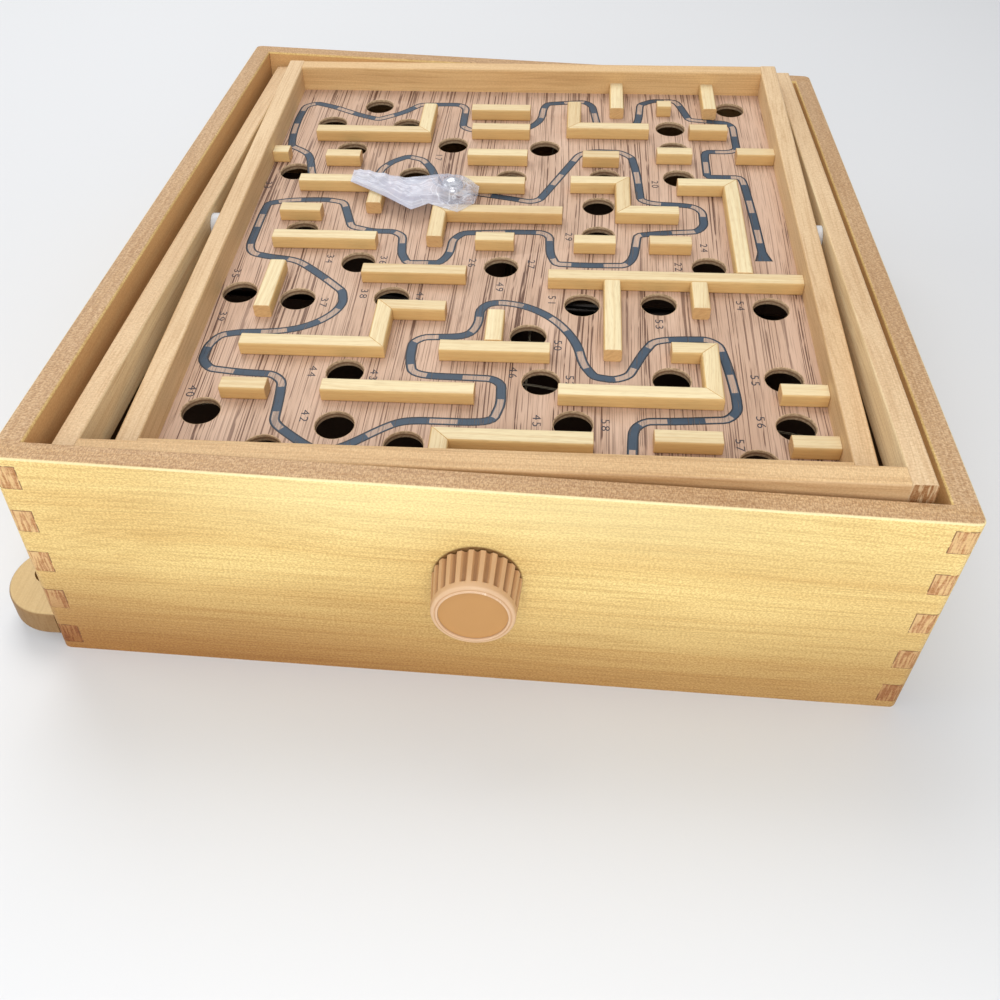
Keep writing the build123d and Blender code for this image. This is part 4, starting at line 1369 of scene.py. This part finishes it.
@dataclass
class Controls:
    """The two fluted knobs, and the shafts, pins and washers that turn."""

    rear: float = 13.7 * MM
    front: float = 12.5 * MM
    length: float = 13.8 * MM
    wall: float = 2.6 * MM
    band: float = 2.4 * MM
    fade: float = 0.6 * MM
    ring: float = 11.0 * MM
    flutes: int = 24
    facets: int = 10
    flute_depth: float = 0.95 * MM
    flute_share: float = 0.25
    flute_skin: float = 1.5 * MM
    face_depth: float = 0.6 * MM
    edge_round: float = 0.9 * MM
    disc_gap: Point2 = (0.64 * MM, 0.7 * MM)
    hub: float = 5.5 * MM
    hub_length: float = 11.0 * MM
    hub_wall: float = 2.4 * MM
    bore_depth: float = 9.5 * MM
    front_face: Vector = field(default_factory=lambda: (Vector((0, -161.7, FRONT_SHAFT_UP)) + MIDDLE) * MM)
    side_face: Vector = field(default_factory=lambda: (Vector((-141.2, 0, SIDE_SHAFT_UP)) + MIDDLE) * MM)

    def barrel(self, name: str) -> Piece:
        """The outside of a knob, drawn up ring by ring from its rear on the floor.

        Args:
            name: Name of the piece.

        Returns:
            The barrel with its plain band, raised ring and sunk disc.
        """
        inner = self.rear - self.wall
        body = Bench.made(name, bpy.ops.mesh.primitive_circle_add, vertices=self.flutes * self.facets,
                          radius=inner, fill_type="NOTHING")
        slope = (self.rear - self.front) / self.length
        # Distance from the axis and height of each loop of points: the barrel, its rounded front edge, the
        # raised ring and the sunk disc
        steps = [(self.rear, 0.0)]
        steps += [(self.rear - slope * h * MM, h * MM)
                  for h in (0.6, 2, 4, 6, 8, 9.6, 10.4, 10.8, 11.1, 11.4, 12.4)]
        steps += [(self.front + (out + slope * 0.75) * MM, self.length + up * MM)
                  for out, up in ((0, -0.75), (-0.2, -0.3), (-0.5, -0.05), (-0.8, 0))]
        steps += [(self.ring + out * MM, self.length + up * MM)
                  for out, up in ((0.1, 0), (0, 0.1), (-0.1, 0.28), (-0.3, 0.35), (-0.52, 0.3), (-0.63, 0.1),
                                  (-0.66, -0.4), (-0.85, -0.5), (-3.5, -0.47), (-7, -0.45))]
        with Bench.editing(body, "EDGE"):
            bpy.ops.mesh.select_all(action="SELECT")
            radius, height = inner, 0.0
            for wide, high in steps:
                bpy.ops.mesh.extrude_region_move(TRANSFORM_OT_translate={"value": (0, 0, high - height)})
                bpy.ops.transform.resize(value=(wide / radius, wide / radius, 1),
                                         center_override=(0, 0, high))
                radius, height = wide, high
            bpy.ops.mesh.edge_face_add()
        return body

    def flute(self, body: Piece) -> None:
        """Press the flutes into a barrel, up to its plain band.

        Args:
            body: The barrel.
        """
        top = self.length - self.band
        for point in body.data.vertices:
            reach = math.hypot(point.co.x, point.co.y)
            height = point.co.z
            if reach < self.front - 1 * MM or height > top:
                continue
            turn = math.atan2(point.co.y, point.co.x) * self.flutes
            groove = max(0.0, math.cos(turn) + self.flute_share) ** 0.8 / (1 + self.flute_share)
            fade = min(1.0, (top - height) / self.fade)
            shrink = 1 - self.flute_depth * groove * fade / reach
            point.co.x *= shrink
            point.co.y *= shrink
        with Bench.editing(body, "FACE"):
            bpy.ops.mesh.select_all(action="SELECT")
            bpy.ops.mesh.normals_make_consistent(inside=False)

    def knob(self, name: str) -> Piece:
        """A knob that faces up, with its rear on the floor and its bored hub inside.

        Args:
            name: Name of the piece.

        Returns:
            The knob, with how deep each point lies in a groove as an attribute.
        """
        body = self.barrel(name)
        self.flute(body)
        hub = Bench.made("hub", bpy.ops.mesh.primitive_cylinder_add, vertices=48, radius=self.hub,
                         depth=self.hub_length, location=(0, 0, self.hub_length / 2))
        with Bench.editing(hub, "FACE") as mesh:
            rear = min(mesh.faces, key=lambda part: part.calc_center_median().z)
            Bench.mark(hub, mesh, [rear])
            bpy.ops.mesh.inset(thickness=self.hub_wall)
            bpy.ops.mesh.extrude_region_move(TRANSFORM_OT_translate={"value": (0, 0, self.bore_depth)})
        whole = Bench.joined(name, [hub, body])
        Bench.smooth(whole, 38)
        self.mark_grooves(whole)
        return whole

    def mark_grooves(self, knob: Piece) -> None:
        """Store how deep each point lies in a groove: 0 on a rubbed edge with a painted highlight and 1 at the
        bottom, where painted shade goes.

        Args:
            knob: The knob, facing up.
        """
        # Marks of the plain front face and of the flutes' ridges; the ridges' small mark still takes part of the
        # painted highlight
        plain, least = 0.18, 0.07
        near, far = self.disc_gap
        shade = knob.data.attributes.new("groove", "FLOAT", "POINT")
        for point, mark in zip(knob.data.vertices, shade.data):
            reach = math.hypot(point.co.x, point.co.y)
            skin = self.rear - (self.rear - self.front) * point.co.z / self.length
            if point.co.z > self.length - self.face_depth:
                sunk = 1.0 if self.ring - near > reach > self.ring - far else plain
                mark.value = 0.0 if reach > self.front - self.edge_round else sunk
            elif reach > self.front - self.flute_skin:
                mark.value = min(1.0, max(least, (skin - reach) / self.flute_depth))

    def dress_knob(self, knob: Piece, *materials: Material) -> None:
        """Give a knob its materials.

        Args:
            knob: The knob, facing up.
            *materials: For its barrel, disc and ring.
        """
        Bench.dress(knob, *materials)
        for part in knob.data.polygons:
            reach = math.hypot(part.center.x, part.center.y)
            if part.center.z > self.length - self.face_depth:
                on_ring = 2 if reach < self.ring + 0.1 * MM else 0
                part.material_index = 1 if reach < self.ring - self.disc_gap[1] else on_ring

    def build(self) -> None:
        """Build both knobs and dress what turns."""
        # Colour of the painted shade in the flutes and in the recess round the disc
        dark = paint(110, 68, 42)
        tan = Plastic("knob_tan", paint(188, 142, 100), paint(226, 192, 154), 0.4, groove=dark).material()
        disc = Plastic("knob_disc", paint(190, 143, 90), paint(182, 134, 83), 0.6, 0.0, gloss=0.2).material()
        # The raised ring wears far paler than the barrel: partly real wear, partly a painted highlight
        ring = Plastic("knob_ring", paint(212, 172, 132), paint(246, 230, 208), 0.35, 0.6, dark).material()
        forward, aside = Matrix.Rotation(math.pi / 2, 4, "X"), Matrix.Rotation(-math.pi / 2, 4, "Y")
        for node, body, turn, spot in (("front_knob", "front_control", forward, self.front_face),
                                       ("side_knob", "side_control", aside, self.side_face)):
            knob = self.knob(node.replace("_knob", "_grip"))
            self.dress_knob(knob, tan, disc, ring)
            Bench.settle(knob, body, "knob_plastic", Matrix.Translation(spot) @ turn, (node,))
        shaft = Metal("steel_shaft_dark", paint(70, 66, 64), paint(40, 34, 30), 0.22).material()
        pin = Metal("steel_pin", paint(196, 194, 190), paint(150, 140, 126), 0.22).material()
        nylon = Plastic("spacer_white", paint(206, 208, 212), paint(186, 186, 186), 0.5, 0.3).material()
        Bench.dress_nodes(shaft, "front_shaft", "side_shaft")
        Bench.dress_nodes(pin, "frame_pivot_pins", "board_pivot_pins")
        Bench.dress_nodes(nylon, "frame_washers", "board_spacers")


@dataclass
class CordWork:
    """Cords wound on the shafts, with the screw eyes, hooks and springs; all sizes are in millimetres."""

    radius: float = 0.5
    bend: float = 1.6
    winding: float = 3.8
    turns: int = 3
    pitch: float = 1.5
    shoulder: float = 12.0
    turn_points: int = 12
    step: float = 0.9
    sides: int = 8
    guide: float = 30.0
    tilt_reach: float = 124.25
    tilt_lanes: Point2 = (-62.25, -57.75)
    tilt_tops: Point2 = (-21.55, -12.65)
    board_reach: float = 132.75
    board_lanes: Point2 = (9.75, 14.25)
    board_tops: Point2 = (-22.8, -13.9)

    def route(self, shaft: float, reach: float, tops: Sequence[Vector]) -> List[Vector]:
        """Leading points of a cord, in millimetres from the middle of the box.

        Args:
            shaft: Height of the shaft's axis.
            reach: Distance of the rails' middles from the axis.
            tops: The cord's two ends, as distance, lane and height.

        Returns:
            Points as distance from the shaft, lane along it, and height.
        """
        level = shaft - self.winding
        slope = (level - self.guide + self.bend) / (reach - self.shoulder)
        corner = self.guide - self.bend * math.hypot(1, slope) - self.bend * slope
        near, far = tops[0].y, tops[1].y
        down = [tops[0], Vector((-reach, near, self.guide + 6)), Vector((-reach, near, corner + 1.2)),
                Vector((-reach + 1.2, near, corner + 0.1)), Vector((-reach + 7, near, corner + 7 * slope)),
                Vector((-self.shoulder - 5, near, level - 5 * slope)), Vector((-self.shoulder, near, level)),
                Vector((-6, near, level))]
        round_shaft = []
        for k in range(self.turn_points * self.turns + 1):
            angle = 2 * math.pi * k / self.turn_points
            lane = near + self.pitch * k / self.turn_points
            round_shaft.append(Vector((self.winding * math.sin(angle), lane,
                                       shaft - self.winding * math.cos(angle))))
        up = [Vector((6, far, level)), Vector((self.shoulder, far, level)),
              Vector((self.shoulder + 5, far, level - 5 * slope)),
              Vector((reach - 7, far, corner + 7 * slope)),
              Vector((reach - 1.2, far, corner + 0.1)), Vector((reach, far, corner + 1.2)),
              Vector((reach, far, self.guide + 6)), tops[1]]
        return down + round_shaft + up

    def tube(self, name: str, points: Sequence[Vector]) -> Piece:
        """A round cord along a smooth line through the given places.

        Args:
            name: Name of the piece.
            points: Leading points in metres, in the shared frame.

        Returns:
            The cord.
        """
        middle, length = Bench.evenly(Bench.line(points, resolution=4), self.step * MM)
        ways = [(middle[min(k + 1, len(middle) - 1)] - middle[max(k - 1, 0)]).normalized()
                for k in range(len(middle))]
        side = ways[0].orthogonal().normalized()
        sides = []
        for way in ways:
            side = (side - way * side.dot(way)).normalized()
            sides.append(side.copy())
        steps = len(middle) - 1

        def place(along: float, around: float) -> Vector:
            """Place of a point of the cord's skin.

            Args:
                along: Share of the cord's length.
                around: Share of a turn.

            Returns:
                The place.
            """
            k = min(round(along * steps), steps)
            angle = 2 * math.pi * around
            cross = ways[k].cross(sides[k])
            return middle[k] + (sides[k] * math.cos(angle) + cross * math.sin(angle)) * self.radius * MM

        cord = Bench.sheet(name, steps, self.sides, place)
        with Bench.editing(cord, "VERT"):
            bpy.ops.mesh.select_all(action="SELECT")
            bpy.ops.mesh.remove_doubles(threshold=1e-6)
            bpy.ops.mesh.normals_make_consistent(inside=False)
        Bench.smooth(cord, 80)
        return cord

    def string(self, name: str, points: Sequence[Vector], node: str,
               thread: Material) -> None:
        """One cord: its wound middle, and the two upright ends that run up to the rails' hooks.

        Args:
            name: Name of the middle piece, which starts the names of the ends.
            points: Leading points in metres, in the shared frame.
            node: CAD node that the cord stands for.
            thread: Material of the cord.
        """
        middle = self.tube(name, points[1:-1])
        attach(middle, "box")
        near = self.tube(name + "_near", [points[0], points[0].lerp(points[1], 0.5), points[1]])
        tuple(points[1])
        tuple(points[0])
        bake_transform(near)
        far = self.tube(name + "_far", [points[-2], points[-1].lerp(points[-2], 0.5), points[-1]])
        tuple(points[-2])
        tuple(points[-1])
        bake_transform(far)
        for piece in (middle, near, far):
            Bench.dress(piece, thread)
            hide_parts(node)
            log.info("%s stands for %s", piece.name, node)

    def build(self) -> None:
        """Build both cords and dress the steel that leads them."""
        thread = Thread("thread_waxed", paint(224, 214, 190), paint(150, 134, 104)).material()

        def ends(pose: Matrix, places: Sequence[Sequence[float]]) -> List[Vector]:
            """Places of the rails' hooks, in millimetres from the middle of the box."""
            return [(pose @ (Vector(place) * MM)) / MM - MIDDLE for place in places]

        far, lanes, tops = self.tilt_reach, self.tilt_lanes, self.tilt_tops
        hooks = ends(IN_FRAME, [(-far, lanes[0], tops[0]), (far, lanes[1], tops[1])])
        leads = self.route(FRONT_SHAFT_UP, far, [Vector((p.x, lane, p.z)) for p, lane in zip(hooks, lanes)])
        self.string("cord_tilt", [(point + MIDDLE) * MM for point in leads], "tilt_cord",
                    thread)
        far, lanes, tops = self.board_reach, self.board_lanes, self.board_tops
        hooks = ends(IN_BOARD, [(lanes[0], -far, tops[0]), (lanes[1], far, tops[1])])
        leads = self.route(SIDE_SHAFT_UP, far, [Vector((p.y, lane, p.z)) for p, lane in zip(hooks, lanes)])
        self.string("cord_board", [(Vector((p.y, p.x, p.z)) + MIDDLE) * MM for p in leads], "board_cord",
                    thread)
        wire = Metal("steel_wire", paint(190, 188, 182), paint(140, 130, 112), 0.28).material()
        Bench.dress_nodes(wire, "cord_guides", "frame_cord_hooks", "board_cord_hooks", "frame_spring",
                          "board_spring")


@dataclass
class BaggedBall:
    """A steel ball in a small clear bag that lies across the maze strips."""

    middle: Vector = field(default_factory=lambda: Vector((-26.5, 28.8, 0.8)) * MM)
    radius: float = 5.5 * MM
    film: float = 0.15 * MM
    skirt: float = 4.0 * MM
    closed_end: float = -70.0
    length: float = 54.4
    highest: float = 6.9
    cells: Tuple[int, int] = (110, 64)
    fold_waves: float = 0.16
    finer: float = 2.7
    pleats: float = 15.0
    end_seams: Point2 = (0.06, 0.05)
    # Outline of the bag on both sides, in millimetres from the middle of the board
    upper: Tuple[Point2, ...] = ((-70.4, 42.0), (-47.6, 37.6), (-36, 40.4), (-30, 42.4), (-22, 40.0),
                                 (-15.6, 32.5))
    lower: Tuple[Point2, ...] = ((-69.6, 32.4), (-54.0, 22.4), (-42.0, 13.4), (-35.5, 18.6), (-23.0, 12.4),
                                 (-16.4, 19.6), (-15.6, 27.0))

    @staticmethod
    def on(chain: Sequence[Point2], x: float) -> float:
        """Height of a chain of points.

        Args:
            chain: Points in order of x.
            x: Where the height is wanted.

        Returns:
            The height at x.
        """
        for (x0, y0), (x1, y1) in zip(chain, chain[1:]):
            if x <= x1:
                share = max(0.0, (x - x0) / (x1 - x0))
                return y0 + (y1 - y0) * share
        return chain[-1][1]

    def layer(self, name: str, top: bool) -> Piece:
        """One layer of film.

        Args:
            name: Name of the piece.
            top: The layer over the ball, or else the one under it.

        Returns:
            The layer.
        """
        def place(along: float, across: float) -> Vector:
            """Place on the board of a point of the film.

            Args:
                along: Share of the bag's length, from its closed end to the ball.
                across: Share of its width.

            Returns:
                The place.
            """
            x = self.closed_end + self.length * along
            low, high = self.on(self.lower, x), self.on(self.upper, x)
            y = low + (high - low) * across
            seam = 1 - abs(2 * across - 1) ** 3
            ends = min(1.0, along / self.end_seams[0], (1 - along) / self.end_seams[1])
            seed = Vector((x * self.fold_waves, y * self.fold_waves, 0 if top else 5))
            fold = 1 - abs(noise.noise(seed)) * 2
            small = 1 - abs(noise.noise(seed * self.finer)) * 2
            pleat = math.sin(across * self.pleats + 3 * noise.noise(Vector((along * 3, 0, 0)))) * (1 - along) * 0.35
            raised = 1.3 * max(0.0, 1 - along / 0.6)
            if top:
                swell = 1.5 + 1.0 * fold + 0.2 * small + 1.6 * pleat + 1.2 * along
                lift = 0.55 + raised + seam * ends * swell
            else:
                lift = 0.5 + raised * 0.8 + seam * ends * 0.1 * small
            away = math.hypot(x * MM - self.middle.x, y * MM - self.middle.y)
            grown = self.radius + self.film
            if away < grown:
                rise = math.sqrt(grown ** 2 - away ** 2) / MM
                level = self.middle.z / MM
                lift = max(lift, level + rise) if top else min(lift, level - rise)
            elif away < grown + self.skirt:
                near = (1 - (away - grown) / self.skirt) ** 2
                lift = lift + (2.2 * near * seam * ends if top else -1.3 * near * seam * ends)
            return Vector((x, y, min(lift, self.highest))) * MM

        return Bench.sheet(name, *self.cells, place)

    def build(self) -> None:
        """Build the ball and the bag."""
        ball = Bench.made("ball_polished", bpy.ops.mesh.primitive_ico_sphere_add, subdivisions=5,
                          radius=self.radius, location=self.middle)
        Bench.smooth(ball, 60)
        polished = Metal("steel_polished", paint(214, 214, 216), paint(180, 180, 184), 0.06, 0.15)
        Bench.dress(ball, polished.material())
        Bench.settle(ball, "bagged_ball", "polished_steel", IN_BOARD, ("steel_ball",))
        bag = Bench.joined("film_bag", [self.layer("film_low", False), self.layer("film_high", True)])
        Bench.smooth(bag, 50)
        Bench.dress(bag, Film("film_clear").material())
        Bench.settle(bag, "bagged_ball", "clear_film", IN_BOARD, ("ball_bag",))


@dataclass
class Studio:
    """Pale floor, soft lamps and the camera."""

    eye: Vector = field(default_factory=lambda: Vector((24.120, -357.716, 276.625)) * MM)
    right: Vector = field(default_factory=lambda: Vector((0.997285, 0.067251, 0.030006)))
    down: Vector = field(default_factory=lambda: Vector((0.06804, -0.685617, -0.724775)))
    forward: Vector = field(default_factory=lambda: Vector((-0.028169, 0.724849, -0.688332)))
    lens: float = 36.51
    target: Vector = field(default_factory=lambda: Vector((0, 0, 50)) * MM)

    def camera(self) -> None:
        """The camera, where the photograph was taken from."""
        data = bpy.data.cameras.new("camera")
        data.lens = self.lens
        data.sensor_width = 36.0
        data.clip_start = 0.01
        camera = bpy.data.objects.new("camera", data)
        bpy.context.scene.collection.objects.link(camera)
        turn = Matrix((self.right, -self.down, -self.forward)).transposed()
        camera.matrix_world = Matrix.Translation(self.eye) @ turn.to_4x4()
        bpy.context.scene.camera = camera

    def lamp(self, name: str, place: Tuple[float, float, float], size: float, power: float,
             colour: Tuple[float, float, float] = (1.0, 1.0, 1.0)) -> None:
        """Add a square lamp that shines at the middle of the box.

        Args:
            name: Name of the lamp.
            place: Where it hangs.
            size: Length of its sides.
            power: Its power in watts.
            colour: Colour of its light.
        """
        data = bpy.data.lights.new(name, "AREA")
        data.size = size
        data.energy = power
        data.color = colour
        lamp = bpy.data.objects.new(name, data)
        bpy.context.scene.collection.objects.link(lamp)
        lamp.location = place
        way = self.target - Vector(place)
        lamp.rotation_euler = way.to_track_quat("-Z", "Y").to_euler()

    def build(self) -> None:
        """Set up the floor, the lamps, the world and the camera."""
        floor = Bench.made("floor", bpy.ops.mesh.primitive_plane_add, size=8)
        shop = NodeShop("floor_pale")
        haze = shop.cloud(shop.place(Pose.CASE), scale=3)
        pale = shop.mix(haze * 0.3, paint(222, 223, 225), paint(214, 215, 218))
        Bench.dress(floor, shop.finish(Base_Color=pale, Roughness=0.7, Specular_IOR_Level=0.2))
        self.lamp("key", (-0.3, 0.7, 1.15), 0.9, 9.5, (1.0, 0.985, 0.96))
        self.lamp("fill", (0.05, -0.8, 0.55), 0.6, 5.2, (1.0, 0.995, 0.98))
        self.lamp("side", (-1.2, -0.1, 0.6), 0.8, 3.0, (0.95, 0.98, 1.0))
        world = bpy.context.scene.world or bpy.data.worlds.new("world")
        bpy.context.scene.world = world
        world.use_nodes = True
        back = world.node_tree.nodes["Background"]
        back.inputs["Color"].default_value = (0.95, 0.97, 1.0, 1.0)
        back.inputs["Strength"].default_value = 0.5
        bpy.context.scene.view_settings.view_transform = "Standard"
        self.camera()


def main() -> None:
    """Build every part in order."""
    logging.basicConfig(level=logging.INFO, format="%(message)s")
    for part in (Studio(), Case(), TiltingFrame(), MazeBoard(), Controls(), CordWork(), BaggedBall()):
        part.build()
        log.info("%s done", type(part).__name__)


if __name__ == "__main__":
    main()
